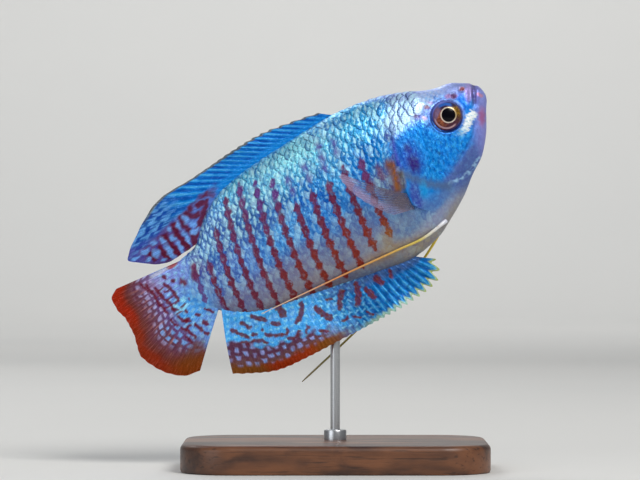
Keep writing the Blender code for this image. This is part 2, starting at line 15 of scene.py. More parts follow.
import bpy
import numpy as np
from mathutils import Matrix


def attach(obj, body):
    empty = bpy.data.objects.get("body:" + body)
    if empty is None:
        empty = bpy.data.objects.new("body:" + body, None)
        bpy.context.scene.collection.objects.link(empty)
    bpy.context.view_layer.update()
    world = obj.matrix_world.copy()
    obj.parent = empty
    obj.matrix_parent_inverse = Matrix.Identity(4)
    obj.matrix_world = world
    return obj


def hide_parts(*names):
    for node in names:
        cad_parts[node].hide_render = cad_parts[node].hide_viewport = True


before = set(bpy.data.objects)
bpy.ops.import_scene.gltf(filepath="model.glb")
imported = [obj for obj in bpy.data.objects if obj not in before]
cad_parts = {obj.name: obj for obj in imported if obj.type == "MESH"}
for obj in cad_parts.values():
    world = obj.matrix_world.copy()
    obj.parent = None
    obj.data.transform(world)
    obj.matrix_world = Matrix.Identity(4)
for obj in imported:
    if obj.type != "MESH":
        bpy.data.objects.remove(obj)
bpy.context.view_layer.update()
MM = 0.001
print("nodes:", ", ".join(sorted(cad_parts)))

# %% [markdown]
# ## The body's measurements
#
# A fish's body can be described by four curves along its length: the back line, the belly line, the half
# width and how high the widest place lies. They could be drawn as splines, but a few stations in a table
# with a smooth curve through them are easier to read and to correct. Past 60.7 mm the body thins out over
# the root of the tail fin.

# %% The body's curves
BACKLINE = (
    (0, 1.1), (1, 3.45), (2.4, 4.6), (4, 5.5), (7.7, 6.95), (11.2, 8.8), (15.8, 10.8), (19.3, 11.8),
    (24.8, 12.85), (33, 13.2), (42, 13.4), (47.5, 12.9), (50.2, 12.2), (52.4, 11.2), (54.7, 9.5),
    (56.6, 7.8), (58.3, 7.05), (60.7, 6.85), (62.6, 6.1), (64.2, 4), (65, 1.8),
)
BELLYLINE = (
    (0, 0.9), (0.3, -0.25), (1, -1.3), (2.2, -3.2), (3.7, -5.4), (6.5, -8.3), (9.6, -10.05), (13, -12.3),
    (17.4, -14.45), (21, -15.85), (26, -16.4), (33, -14.95), (37, -13.9), (45, -11.8), (50, -10.6),
    (54.5, -9.1), (58.5, -6.6), (60.1, -5), (60.7, -4.3), (62.5, -3.4), (64.2, -2.2), (65, -0.8),
)
HALF_WIDTH = (
    (0, 0), (0.3, 1.05), (0.8, 1.6), (1.6, 2.1), (4, 2.95), (7.9, 3.9), (12, 4.8), (18, 5.35), (25, 5.5),
    (33, 5.1), (42, 4.1), (50, 2.9), (56, 1.95), (60.7, 1.15), (63, 0.6), (65, 0.15),
)
WIDEST_ABOVE_MIDDLE = ((0, 0.02), (8, 0.05), (25, 0.14), (45, 0.10), (60.7, 0.02), (65, 0.02))
EDGE_SHARPNESS = ((0, 0.95), (10, 0.9), (25, 1), (45, 1.15), (60.7, 1.1), (65, 1.1))
SKIN_END = 65.0
COAT_DEPTH = 0.15  # the skin lies this far inside the CAD solids, and the scales fill it


def running(steps):
    """Running total that starts at nought."""
    return np.concatenate([[0], np.cumsum(steps)])


def unit(vectors):
    """Each vector divided by its length."""
    return vectors / np.maximum(np.linalg.norm(vectors, axis=-1), 1e-9)[..., None]


def around(count):
    """Angles round a full turn, without the last, which is the first again."""
    return np.linspace(0, 2 * math.pi, count, endpoint=False)


def stacked(*values):
    """Values that fit on one grid, put side by side as the last axis."""
    return np.stack(np.broadcast_arrays(*values), -1)


def along(stations, at):
    """Smooth curve through (place, value) stations: a cubic between each two, whose slope at a station is
    the harmonic mean of the slopes on both sides, so it never overshoots."""
    place, value = np.array(stations, float).T
    step = np.diff(place)
    chord = np.diff(value) / step
    slope = np.concatenate([chord[:1], np.zeros(len(chord) - 1), chord[-1:]])
    both = chord[:-1] * chord[1:]
    total = chord[:-1] + chord[1:]
    slope[1:-1] = np.where(both > 0, 2 * both / np.where(total == 0, 1, total), 0)
    at = np.clip(np.asarray(at, float), place[0], place[-1])
    i = np.clip(np.searchsorted(place, at) - 1, 0, len(step) - 1)
    t = (at - place[i]) / step[i]
    return (
        value[i] * (1 + 2 * t) * (1 - t) ** 2
        + value[i + 1] * t * t * (3 - 2 * t)
        + step[i] * t * (1 - t) * (slope[i] * (1 - t) - slope[i + 1] * t)
    )


def along_body(stations, back):
    """The same curve read against the square root of the distance back, which makes the snout round."""
    place, value = np.array(stations, float).T
    return along(np.column_stack([np.sqrt(place), value]), np.sqrt(np.clip(back, 0, SKIN_END)))


def body_point(back, turn):
    """Cross-section at a distance back: up = middle + half (cos t + skew sin2 t) and
    side = width |sin t|^sharp. Turn 0 is the back, a quarter turn the left flank, half a turn the belly."""
    top, bottom = along_body(BACKLINE, back), along_body(BELLYLINE, back)
    width = along_body(HALF_WIDTH, back)
    skew, sharp = along_body(WIDEST_ABOVE_MIDDLE, back), along_body(EDGE_SHARPNESS, back)
    up = (top + bottom) / 2 + (top - bottom) / 2 * (np.cos(turn) + skew * np.sin(turn) ** 2)
    side = width * np.sign(np.sin(turn)) * np.abs(np.sin(turn)) ** sharp
    return stacked(back, side, up)


def flank(back, up):
    """Half width of the body at one height: the cross-section's formula turned round."""
    top, bottom = along_body(BACKLINE, back), along_body(BELLYLINE, back)
    skew, sharp = along_body(WIDEST_ABOVE_MIDDLE, back), along_body(EDGE_SHARPNESS, back)
    v = np.clip((np.asarray(up, float) - (top + bottom) / 2) * 2 / (top - bottom), -1, 1)
    cosine = (1 - np.sqrt(1 - 4 * skew * (v - skew))) / (2 * skew)
    return along_body(HALF_WIDTH, back) * np.sqrt(np.clip(1 - cosine**2, 0, 1)) ** sharp


print("half width at the gills:", round(float(flank(20.0, -2.0)), 2), "mm")

# %% [markdown]
# ## From the straight fish to the stand
#
# The real fish swims with its head up and its tail curved a little to its left. It is far easier to model a
# straight fish and bend it afterwards, so every point goes through one function: it bends the middle line
# along an arc, turns the fish nose up, and carries it to its place over the base.

# %% Pose
NOSE_UP = math.radians(34.25)
SNOUT_FORWARD, SNOUT_HEIGHT = 26.7, 65.6
TAIL_SWING = math.radians(20)
SWING_FROM, SWING_TO = 30.0, 76.0


def bend(points):
    """Swings the rear to the left: the middle line's heading grows with the square of the distance past
    the start of the bend, and each point keeps its distance from that line."""
    steps = np.linspace(0, SWING_TO, 800)
    heading = TAIL_SWING * np.clip((steps - SWING_FROM) / (SWING_TO - SWING_FROM), 0, 1) ** 2
    reach = running(np.cos(heading[:-1]) * np.diff(steps))
    drift = running(np.sin(heading[:-1]) * np.diff(steps))
    back, side = points[:, 0], points[:, 1]
    at = np.interp(back, steps, heading)
    past = np.where(back < 0, back, np.maximum(back - SWING_TO, 0))
    bent = points.copy()
    bent[:, 0] = np.interp(back, steps, reach) + np.cos(at) * past - side * np.sin(at)
    bent[:, 1] = np.interp(back, steps, drift) + np.sin(at) * past + side * np.cos(at)
    return bent


def on_stand(points):
    """Bends, then turns (forward, side, up) about the side axis by the nose-up angle, then moves it."""
    bent = bend(np.asarray(points, float).reshape(-1, 3))
    forward, side, up = -bent[:, 0], bent[:, 1], bent[:, 2]
    x = SNOUT_FORWARD + forward * math.cos(NOSE_UP) - up * math.sin(NOSE_UP)
    z = SNOUT_HEIGHT + forward * math.sin(NOSE_UP) + up * math.cos(NOSE_UP)
    return np.stack([x, side, z], -1) * MM


print("snout at", on_stand([(0, 0, 0)]).round(4), "tail fin at", on_stand([(75, 0, 0)]).round(4))

# %% [markdown]
# ## Small mesh tools
#
# A mesh is a list of points and a list of faces. Most pieces here are grids of points, so one function
# turns a grid into quads, joining its first and last column where the surface closes on itself. Patterns
# that follow the surface ride on the mesh as attributes: named numbers or colours, one for each point,
# which the materials read.

# %% Mesh tools
SKIN_NODES = ("head", "gill_cover_right", "gill_cover_left", "torso", "tail")
KINDS = {1: ("FLOAT", "value"), 3: ("FLOAT_VECTOR", "vector"), 4: ("FLOAT_COLOR", "color")}


def grid_faces(rows, columns, wrap=False, start=0):
    """Quads between neighbours of a rows x columns grid numbered row by row."""
    last = columns if wrap else columns - 1
    i, j = np.meshgrid(np.arange(rows - 1), np.arange(last), indexing="ij")
    a, b = i * columns + j, i * columns + (j + 1) % columns
    return start + np.stack([a, b, b + columns, a + columns], -1).reshape(-1, 4)


def build(name, points, faces):
    """One mesh object from points in metres and a list of face arrays (quads and triangles)."""
    faces = [np.asarray(f) for f in (faces if isinstance(faces, list) else [faces])]
    sizes = np.concatenate([np.full(len(f), f.shape[1]) for f in faces])
    mesh = bpy.data.meshes.new(name)
    mesh.vertices.add(len(points))
    mesh.vertices.foreach_set("co", np.asarray(points, np.float32).ravel())
    mesh.loops.add(int(sizes.sum()))
    mesh.loops.foreach_set("vertex_index", np.concatenate([f.ravel() for f in faces]).astype(np.int32))
    mesh.polygons.add(len(sizes))
    mesh.polygons.foreach_set("loop_start", running(sizes[:-1]).astype(np.int32))
    mesh.update(calc_edges=True)
    mesh.validate()
    mesh.polygons.foreach_set("use_smooth", np.full(len(sizes), True))
    made = bpy.data.objects.new(name, mesh)
    bpy.context.scene.collection.objects.link(made)
    return made


def carry(piece, **values):
    """Stores arrays on the points: three columns as a vector, four as a colour, one as a number."""
    for name, value in values.items():
        value = np.asarray(value, np.float32)
        width = 1 if value.ndim == 1 else value.shape[1]
        kind, field = KINDS[width]
        piece.data.attributes.new(name, kind, "POINT").data.foreach_set(field, value.ravel())
    return piece


def bake_map(piece, uv):
    """A UV map from one (u, v) pair for each point."""
    layer = piece.data.uv_layers.new(name="OFBake")
    corner = np.zeros(len(piece.data.loops), np.int32)
    piece.data.loops.foreach_get("vertex_index", corner)
    layer.data.foreach_set("uv", np.asarray(uv, np.float32)[corner].ravel())
    return piece


def settle(piece, slot, finish, *nodes):
    """Puts a piece on the model: its material, the body it rides on and the CAD nodes it stands for."""
    piece.data.materials.append(finish)
    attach(piece, "root")
    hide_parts(*nodes)
    print(f"{piece.name}: {len(piece.data.polygons)} faces")
    return piece

# %% [markdown]
# ## Painting with formulas
#
# The fish's markings belong to places on its body, so they are worked out from (back, up) on the points
# themselves. A painter lays one colour over another through a mask, and so do these functions: a soft
# ellipse, a stroke along a line, a band. The skin and the scales over it are painted by the same functions,
# which is what keeps a bar of red unbroken from scale to scale.

# %% Masks and colours
def tone(red, green, blue):
    """A colour by its screen values from 0 to 255, turned into linear light."""
    return np.append((np.array([red, green, blue]) / 255.0) ** 2.2, 1.0)


def rise(value, start, end):
    """Smooth step from 0 at start to 1 at end: 3 t2 - 2 t3."""
    t = np.clip((np.asarray(value, float) - start) / (end - start), 0, 1)
    return t * t * (3 - 2 * t)


def fall(value, start, end):
    """Smooth step from 1 at start to 0 at end."""
    return 1 - rise(value, start, end)


def hump(value, centre, width):
    """Bell curve: exp(-((value - centre) / width)2)."""
    return np.exp(-(((value - centre) / width) ** 2))


def patch(back, up, centre, reach, tilt=0.0, soft=0.35):
    """A soft ellipse: 1 inside, falling to 0 across its edge. tilt turns its rear end upwards."""
    turn = math.radians(tilt)
    b, u = back - centre[0], up - centre[1]
    long = (b * math.cos(turn) + u * math.sin(turn)) / reach[0]
    high = (u * math.cos(turn) - b * math.sin(turn)) / reach[1]
    return fall(np.hypot(long, high), 1 - soft, 1 + soft)


def line_distance(back, up, points):
    """Distance from each place to the nearest of a line's straight pieces."""
    nearest = np.full(np.shape(back), 1e3)
    for (b0, u0), (b1, u1) in zip(points, points[1:]):
        t = ((back - b0) * (b1 - b0) + (up - u0) * (u1 - u0)) / ((b1 - b0) ** 2 + (u1 - u0) ** 2)
        t = np.clip(t, 0, 1)
        nearest = np.minimum(nearest, np.hypot(back - b0 - t * (b1 - b0), up - u0 - t * (u1 - u0)))
    return nearest


def pairs(numbers):
    """A flat row of numbers as (back, up) points."""
    return np.reshape(numbers, (-1, 2))


def strokes(back, up, lines, width, soft=0.15):
    """1 within half the width of any of the lines, 0 beyond the soft edge."""
    nearest = np.minimum.reduce([line_distance(back, up, line) for line in lines])
    return fall(nearest, width / 2 - soft, width / 2 + soft)


def lay(colour, over, mask, strength=1.0):
    """Moves each colour towards another by a mask."""
    return colour + (over - colour) * (np.asarray(mask) * strength)[..., None]


def layered(colour, back, up, layers):
    """Lays many colours over one another in their order. A layer is (colour, mask, strength). Three numbers
    in a colour's place are its screen values, and numbers in a mask's place make a patch."""
    for over, mask, strength in layers:
        over = tone(*over) if isinstance(over, tuple) else over
        mask = patch(back, up, *mask) if isinstance(mask, tuple) else mask
        colour = lay(colour, over, mask, strength)
    return colour


def between(value, start, full, fading, end):
    """A band with soft sides: rises from start to full and falls from fading to end."""
    return rise(value, start, full) * fall(value, fading, end)


def unrest(back, up, size, seed=0.0):
    """A smooth wandering value between about -1 and 1: a sum of four slanted sine waves."""
    a, b = back / size, up / size
    waves = np.sin(a * 2.1 + b * 1.3 + seed) + np.sin(b * 2.7 - a * 1.1 + seed * 2.3)
    waves = waves + np.sin(a * 3.9 - b * 2.9 + seed * 1.7) * 0.6
    return (waves + np.sin(a * 1.3 + b * 4.6 + seed * 0.7) * 0.6) / 2.6


print("azure in linear light:", tone(0, 120, 225).round(3))

# %% [markdown]
# ## The head's relief
#
# A fish's head is one smooth wedge with fine things pressed into it: the ring round the eye, the nearly
# upright mouth with its two lips, the two nostrils before the eye, the fold of the cheek and the free edge
# of the gill cover. They could be separate pieces, but on the animal the skin runs over all of them. So
# they are written as one height, in millimetres, that pushes the skin out or in along its own normal.

# %% Relief of the head
EYE_BACK, EYE_UP, EYE_RADIUS, EYE_DEPTH, EYE_STANDS_OUT = 7.95, 1.1, 2.8, 1.7, 0.75
MOUTH_CORNER, MOUTH_FRONT = (2.95, -0.45), (0.75, 3.05)
NOSTRILS = ((2.95, 3.55, 0.3), (4.95, 3.45, 0.36))
GILL_EDGE = ((-14.5, 15), (-12.5, 18.2), (-10.2, 20.7), (-8, 21.7), (-5.3, 21.2), (-3, 20.3), (-0.5, 19.8),
             (1, 19.3), (3.2, 18.2), (4.6, 16))
CHEEK_FOLD = ((11.6, 2), (13.6, 0), (14.7, -3), (14.4, -6), (12.5, -8.4), (9, -9.2))
JAW_FOLD = ((4.4, -2.9), (6.2, -4.6), (9.0, -5.9), (12.0, -7.3))


def mouth_place(back, up):
    """Distance along the mouth's line from its corner (1 at the snout's outline) and across it."""
    corner, front = np.array(MOUTH_CORNER), np.array(MOUTH_FRONT)
    reach = np.linalg.norm(front - corner)
    line = (front - corner) / reach
    b, u = back - corner[0], up - corner[1]
    return (b * line[0] + u * line[1]) / reach, b * line[1] - u * line[0]


def from_eye(back, up):
    """Distance from the middle of the eye."""
    return np.hypot(back - EYE_BACK, up - EYE_UP)


def behind_gill(back, up):
    """How far a place lies behind the free edge of the gill cover; negative on the cover."""
    return back - along(GILL_EDGE, up)


def relief(back, up):
    """Height of the head's relief at a place, in mm."""
    eye = from_eye(back, up)
    height = -0.62 * fall(eye, 2.6, 2.84) + 0.07 * hump(eye, 3.1, 0.24) + 0.06 * hump(eye, 3.75, 0.7)
    share, across = mouth_place(back, up)
    open_mouth = rise(share, -0.06, 0.16)
    height = height - 0.18 * hump(across, 0, 0.34 + 0.2 * rise(share, 0.2, 1)) * open_mouth
    lips = hump(across, 0.62, 0.36) + 0.9 * hump(across, -0.6, 0.36)
    height = height + 0.1 * lips * rise(share, -0.3, 0.5) * (1 - 0.6 * rise(share, 0.75, 1.05))
    height = height - 0.05 * hump(across, 1.3, 0.4) * between(share, -0.1, 0.4, 0.7, 1)
    for b, u, radius in NOSTRILS:
        far = np.hypot(back - b, up - u) / radius
        height = height - 0.42 * hump(far, 0, 0.75) + 0.13 * hump(far, 1.5, 0.45)
    height = height - 0.13 * hump(line_distance(back, up, CHEEK_FOLD), 0, 0.22)
    height = height - 0.12 * hump(line_distance(back, up, JAW_FOLD), 0, 0.25)
    height = height + 0.2 * patch(back, up, (4.2, 5.7), (1.6, 1.3), -35, 0.7)
    height = height + COAT_DEPTH * fall(back, 2, 6) + 0.12 * fall(back, 0.4, 1.8)
    past = behind_gill(back, up)
    kept = between(up, -12, -8.6, 3, 4.6) * (back > 12)
    cover = np.where(past < 0, np.exp(past / 3.2), 0) * fall(past, -0.12, 0.12) * 0.42
    fold = -0.16 * hump(past, 0.35, 0.3)
    return height + (cover + fold) * kept


def skin_point(back, turn, height=0.0):
    """Body point moved along the surface's normal by the relief and a height, less the depth of the coat.
    The normal is the cross product of a short step back and a short step round."""
    root = np.sqrt(np.clip(back, 1e-4, SKIN_END))
    here = body_point(root**2, turn)
    long = body_point((root + 0.01) ** 2, turn) - body_point(np.abs(root - 0.01) ** 2, turn)
    normal = unit(np.cross(long, body_point(root**2, turn + 0.01) - body_point(root**2, turn - 0.01)))
    lift = relief(here[..., 0], here[..., 2]) - COAT_DEPTH + height
    return here + normal * lift[..., None]


print("relief at the eye, mouth and gill edge:", *(round(float(relief(b, u)), 2) for b, u in
      ((7.6, 1.1), (1.9, 1.2), (20.2, -3.0))))

# %% [markdown]
# ## Rows and columns of scales
#
# The scales of this fish stand in a net: each lies half a column behind the ones above and below. If the
# net's columns are numbered c and its rows r, a scale sits at every whole c in the even rows and at every
# half c in the odd ones. Rows are measured round the body with a tape, so they keep their height where the
# flank turns under, and columns lean forwards towards the back, as on the animal. The same numbers place
# the red bars, which follow every second column. The nape has a second net, whose rows run parallel to the
# ridge of the back.

# %% The net
ROW_HEIGHT, ROW_LEVEL = 1.05, -1.7
LEAN, LEAN_GROWTH = 0.27, 0.007  # how far a column leans forwards with height
COLUMNS = np.arange(-26, 36, 0.25)


def column_back(c):
    """Where column c crosses the fish's middle line: closer together on the nape and towards the tail."""
    front = 25.7 + 1.765 * c + 0.04 * c**2
    far_front = 17.875 + 1.3 * (c + 5)
    return np.where(c < -5, far_front, np.where(c < 0, front, 25.7 + 1.765 * c - 0.00775 * c**2))


def column_at(back, up):
    """The column number of a place: the lean forwards is LEAN up + LEAN_GROWTH up2."""
    return np.interp(back + LEAN * up + LEAN_GROWTH * up**2, column_back(COLUMNS), COLUMNS)


NET_ENDS = (0.7, SKIN_END - 0.1)  # no scale is set nearer to the ends of the body
PAST_RIDGE = 0.6  # how far the tape runs on past the back and the belly, as a turn
TAPE_BACK = np.linspace(0.8, math.sqrt(SKIN_END), 280) ** 2
TAPE_TURN = np.linspace(-PAST_RIDGE, math.pi + PAST_RIDGE, 420)
tape_rings = body_point(TAPE_BACK[:, None], TAPE_TURN[None])
tape = np.pad(np.cumsum(np.linalg.norm(np.diff(tape_rings, axis=1), axis=2), axis=1), ((0, 0), (1, 0)))
below = np.argmax((tape_rings[:, 60:, 2] < ROW_LEVEL), axis=1) + 60
ring = np.arange(len(TAPE_BACK))
above_up, below_up = tape_rings[ring, below - 1, 2], tape_rings[ring, below, 2]
part = (above_up - ROW_LEVEL) / (above_up - below_up)
level = tape[ring, below - 1] * (1 - part) + tape[ring, below] * part
ROW_TABLE = (level[:, None] - tape) / ROW_HEIGHT
NAPE_COLUMN, NAPE_ROW, NAPE_LEAN, NAPE_BACK = 1.43, 1.25, 0.71, 17.0
ridge = np.argmin(np.abs(TAPE_TURN))
NAPE_TABLE = (tape[:, ridge, None] - tape) / NAPE_ROW


def row_at(back, turn, table=ROW_TABLE):
    """The row number of a place on the body, read between the points of the table."""
    turn = np.where(turn > math.pi + PAST_RIDGE, 2 * math.pi - turn, turn)
    i = np.interp(back, TAPE_BACK, ring)
    j = np.clip((turn - TAPE_TURN[0]) / (TAPE_TURN[1] - TAPE_TURN[0]), 0, len(TAPE_TURN) - 1.001)
    i0, j0 = np.minimum(i.astype(int), len(ring) - 2), j.astype(int)
    s, t = i - i0, j - j0
    low = table[i0, j0] * (1 - t) + table[i0, j0 + 1] * t
    high = table[i0 + 1, j0] * (1 - t) + table[i0 + 1, j0 + 1] * t
    return low * (1 - s) + high * s


def turn_at(back, r, table=ROW_TABLE):
    """The turn at which a ring of the body has row r, found in halving steps."""
    low = np.full(np.shape(back), TAPE_TURN[0])
    high = np.full(np.shape(back), TAPE_TURN[-1])
    for _ in range(18):
        turn = (low + high) / 2
        higher = row_at(back, turn, table) > r
        low, high = np.where(higher, turn, low), np.where(higher, high, turn)
    return turn


def nape_place(c, r):
    """(back, turn) of a place in the nape's net: back = start + pitch c - lean r, r from the ridge."""
    back = np.clip(NAPE_BACK + NAPE_COLUMN * c - NAPE_LEAN * r, *NET_ENDS)
    return back, turn_at(back, r, NAPE_TABLE)


def net_place(c, r):
    """(back, turn) of a place in the net: a few rounds settle the lean."""
    back = column_back(c)
    for _ in range(7):
        turn = turn_at(back, r)
        up = body_point(np.clip(back, 0.5, SKIN_END), turn)[..., 2]
        back = np.clip(column_back(c) - LEAN * up - LEAN_GROWTH * up**2, *NET_ENDS)
    return back, turn


print("net at (0, 0):", [float(v) for v in np.round(net_place(np.array([0.0]), np.array([0.0])), 2)[:, 0]])

# %% [markdown]
# ## The markings
#
# Twelve bars of red, the last one short, run down the flank, each a chain of diamonds, one for each second
# row of scales that it crosses. Above and between them the scales shine blue, ice-blue on the back and
# white on the nape. Two colours are kept for each point, the ground and the stripe, and one number says how
# strong the stripe is there.

# %% Ground colours
PEARL, ICE, SKY = tone(164, 192, 226), tone(118, 214, 236), tone(66, 160, 240)
BLUE, AZURE = tone(20, 126, 214), tone(0, 128, 226)
# GILL_EDGE_SHADOW is the colour of a painted shadow behind the free edge of the gill cover
SLATE, VIOLET, GILL_EDGE_SHADOW = tone(106, 120, 160), tone(84, 74, 180), tone(18, 16, 70)
BREAST, CRIMSON = tone(126, 144, 178), tone(112, 40, 62)
RUST, EMBER = tone(138, 48, 16), tone(150, 100, 44)


def ground(back, up):
    """The flank's and head's colour without the bars: broad washes first, small patches over them."""
    b, u = np.asarray(back, float), np.asarray(up, float)
    wander = unrest(b, u, 1.7)
    low = u + 0.9 * wander
    upper_rear = rise(b, 36, 46) * between(u, 0.8, 3.4, 8.5, 11.5)
    # brow: the pale lilac stripe along the top of the head, partly its own colour and partly a painted
    # highlight on the ridge
    brow = rise(u - (8 + (b - 11) * 0.55), -1.7, 0.5) * fall(b, 17, 23)
    streaks = 0.5 + 0.5 * unrest(b * 0.5 - u * 0.9, b * 0.9 + u * 0.5, 0.34, 4)
    sheen = patch(b, u, (8, -3.2), (3.6, 1.2), -20, 0.7) + patch(b, u, (11, -1.2), (0.8, 1.6), 0, 0.7)
    cheek = patch(b, u, (13, -2.6), (6.4, 5), -10, 0.3)
    cracks = rise(unrest(b * 1.5 + 0.35 * u, u * 0.55, 0.5, 11), 0.25, 0.8)
    glints = rise(unrest(b * 1.5 + 0.35 * u, u * 0.7, 0.42, 2), 0.35, 0.9)
    jaw = rise(-(u + 0.33 * b + 2.9) + 0.35 * unrest(b, u, 0.9, 5), -0.9, 1.1)
    belly = rise(-(low + 9.5), -1.6, 2) * between(b, 11, 16, 30, 40)
    # rim: lighter towards the belly's lower edge, a painted highlight
    rim = fall(u - along_body(BELLYLINE, b), 0.5, 2.4)
    colour = layered(BLUE, b, u, [
        (SKY, rise(b, 42, 56), 0.75),
        ((58, 140, 220), rise(-low, -3.5, 1) * between(b, 23, 27, 46, 54), 0.8),
        ((124, 142, 208), rise(b, 45, 52) * fall(low, 1.5, 5), 0.6),
        (SLATE, rise(-low, 1, 6.5) * rise(b, 25, 30), 0.95),
        (ICE, rise(low, 3, 9) * between(b, 18, 27, 46, 55), 0.85),
        ((112, 176, 236), rise(low, 4, 8) * rise(b, 45, 53), 0.85),
        ((0, 128, 204), ((20.8, 2), (4.6, 3.4)), 0.9),
        ((74, 184, 232), rise(low, 4, 7) * patch(b, u, (21.5, 8), (6, 5)), 0.8),
        ((156, 242, 255), ((32.5, 11.2), (7.5, 1.9), 0, 0.6), 0.95),
        ((96, 178, 255), ((26.6, 11.4), (3.4, 1.3), 8, 0.6), 0.7),
        ((112, 184, 240), ((42, 1), (5.5, 2.6), 0, 0.6), 0.45),
        ((88, 190, 238), ((30.6, 3.4), (3.2, 2.2), 0, 0.6), 0.5),
        ((96, 82, 120), upper_rear, 0.48),
        ((98, 84, 120), rise(b, 52, 56) * fall(u, 0.5, 3), 0.34),
        ((30, 112, 204), ((34.4, 0.4), (2.3, 3), 0, 0.7), 0.62),
        ((84, 130, 176), ((17.3, 3.6), (1.5, 1.5), 0, 0.6), 0.45),
        ((130, 84, 112), ((58.6, 3.8), (1.2, 2.2), 0, 0.6), 0.45),
        ((112, 166, 230), ((55.6, -7.4), (2.4, 1.3), 20, 0.6), 0.5),
        ((152, 134, 144), rise(-u, 1.5, 5) * rise(b, 37, 43), 0.42),
        ((176, 150, 112), rise(-u, 6, 10) * rise(b, 27, 34), 0.34),
        (PEARL, patch(b, low, (13.2, 6.3), (5.6, 3.1), -22), 0.95),
        ((172, 190, 255), brow, 0.85),
        ((160, 174, 236), fall(b, 4.2, 8.5) * rise(u, 1.5, 4), 0.9),
        ((222, 230, 252), patch(b, u, (8.6, 5.4), (4.4, 1.8), -28, 0.6) * streaks, 0.6),
        ((150, 172, 224), ((11.2, 1.4), (1.3, 2.4), 0, 0.6), 0.7),
        ((112, 132, 190), ((10.4, 3.6), (1.2, 1.4), 0, 0.6), 0.4),
        ((120, 124, 180), ((3.3, 3.8), (1.5, 1.2), -30, 0.6), 0.4),
        (AZURE, ((9.4, -3.2), (4.6, 2.1), -16), 1),
        (AZURE, ((13, -3), (3.4, 4.8), 12), 1),
        ((0, 128, 218), ((15, 0.2), (3.4, 3.4), 20), 0.95),
        ((0, 132, 220), ((16, -5.2), (2.6, 5), 24), 0.9),
        ((60, 170, 236), np.clip(sheen, 0, 1) * rise(unrest(b, u, 0.5, 8), -0.1, 0.6), 0.7),
        ((0, 70, 156), cheek * cracks, 0.75),
        ((70, 190, 240), cheek * glints, 0.4),
        ((92, 106, 172), jaw * fall(b, 13, 18), 0.95),
        ((120, 132, 214), ((4, -3.4), (3.4, 1.1), -54, 0.6), 0.85),
        ((80, 100, 160), ((12.6, -9.8), (6, 1.9), -28), 0.75),
        (BREAST, belly, 0.9),
        ((152, 146, 138), ((27.5, -11.6), (6.5, 2.2), -4, 0.6), 0.75),
        ((150, 154, 180), ((19.5, -13.4), (7.5, 1.5), -10), 0.7),
        # a painted highlight along the lower edge of the belly
        ((154, 142, 122), rim * between(b, 10, 17, 30, 36), 0.75),
        ((80, 128, 182), ((23.6, -10.6), (3.4, 1.6), -8, 0.6), 0.85),
        ((168, 146, 100), ((24.2, -14.6), (3.6, 1.4), -6, 0.6), 0.5),
        ((168, 138, 116), ((31, -12.7), (6, 1.1), 12, 0.6), 0.6),
        ((62, 112, 184), ((17.2, -9.9), (3.6, 1.3), -12), 0.6),
        ((154, 156, 230), fall(b + 0.5 * u, 1, 3.8), 0.9),
        ((24, 92, 190), ((4.2, 1.5), (1.1, 1.7), 15, 0.5), 0.9),
    ])
    return tail_base(colour, b, u, rise(b, 59, 61.5))


def tail_base(colour, back, up, mask):
    """The lavender and sky-blue ground of the tail's root, shared by the body's end and the tail fin."""
    glow = rise(unrest(back, up, 0.55, 6), -0.1, 0.6)
    base = layered(tone(104, 152, 226), back, up, [
        ((136, 144, 222), rise(up, 0.5, 4.5), 0.7),
        ((70, 160, 240), ((64.2, -1.5), (3.6, 2.2)), 0.8),
        ((150, 216, 250), glow, 0.6),
    ])
    return lay(colour, base, mask)


print("ground at mid flank:", ground(np.array([33.0]), np.array([0.0])).round(2))

# %% Marks of the head
SPOTS = (
    ((2.9, 3.6), 0.4, (180, 92, 60)), ((4.85, 3.35), 0.5, (132, 56, 84)),
    ((5.7, 3.85), 0.45, (176, 130, 180)), ((9.9, 4.4), 0.42, (124, 48, 44)),
    ((12.33, 4), 0.55, (104, 44, 96)), ((11.3, 3.1), 0.4, (206, 160, 196)),
    ((18.7, 3.9), 0.5, (110, 46, 66)), ((14.1, 7.6), 0.3, (64, 62, 112)),
    ((8.9, 4.7), 0.4, (178, 150, 200)), ((12.7, -3.5), 0.28, (18, 16, 70)),
    ((0.85, 0.95), 0.42, (206, 140, 164)),
)


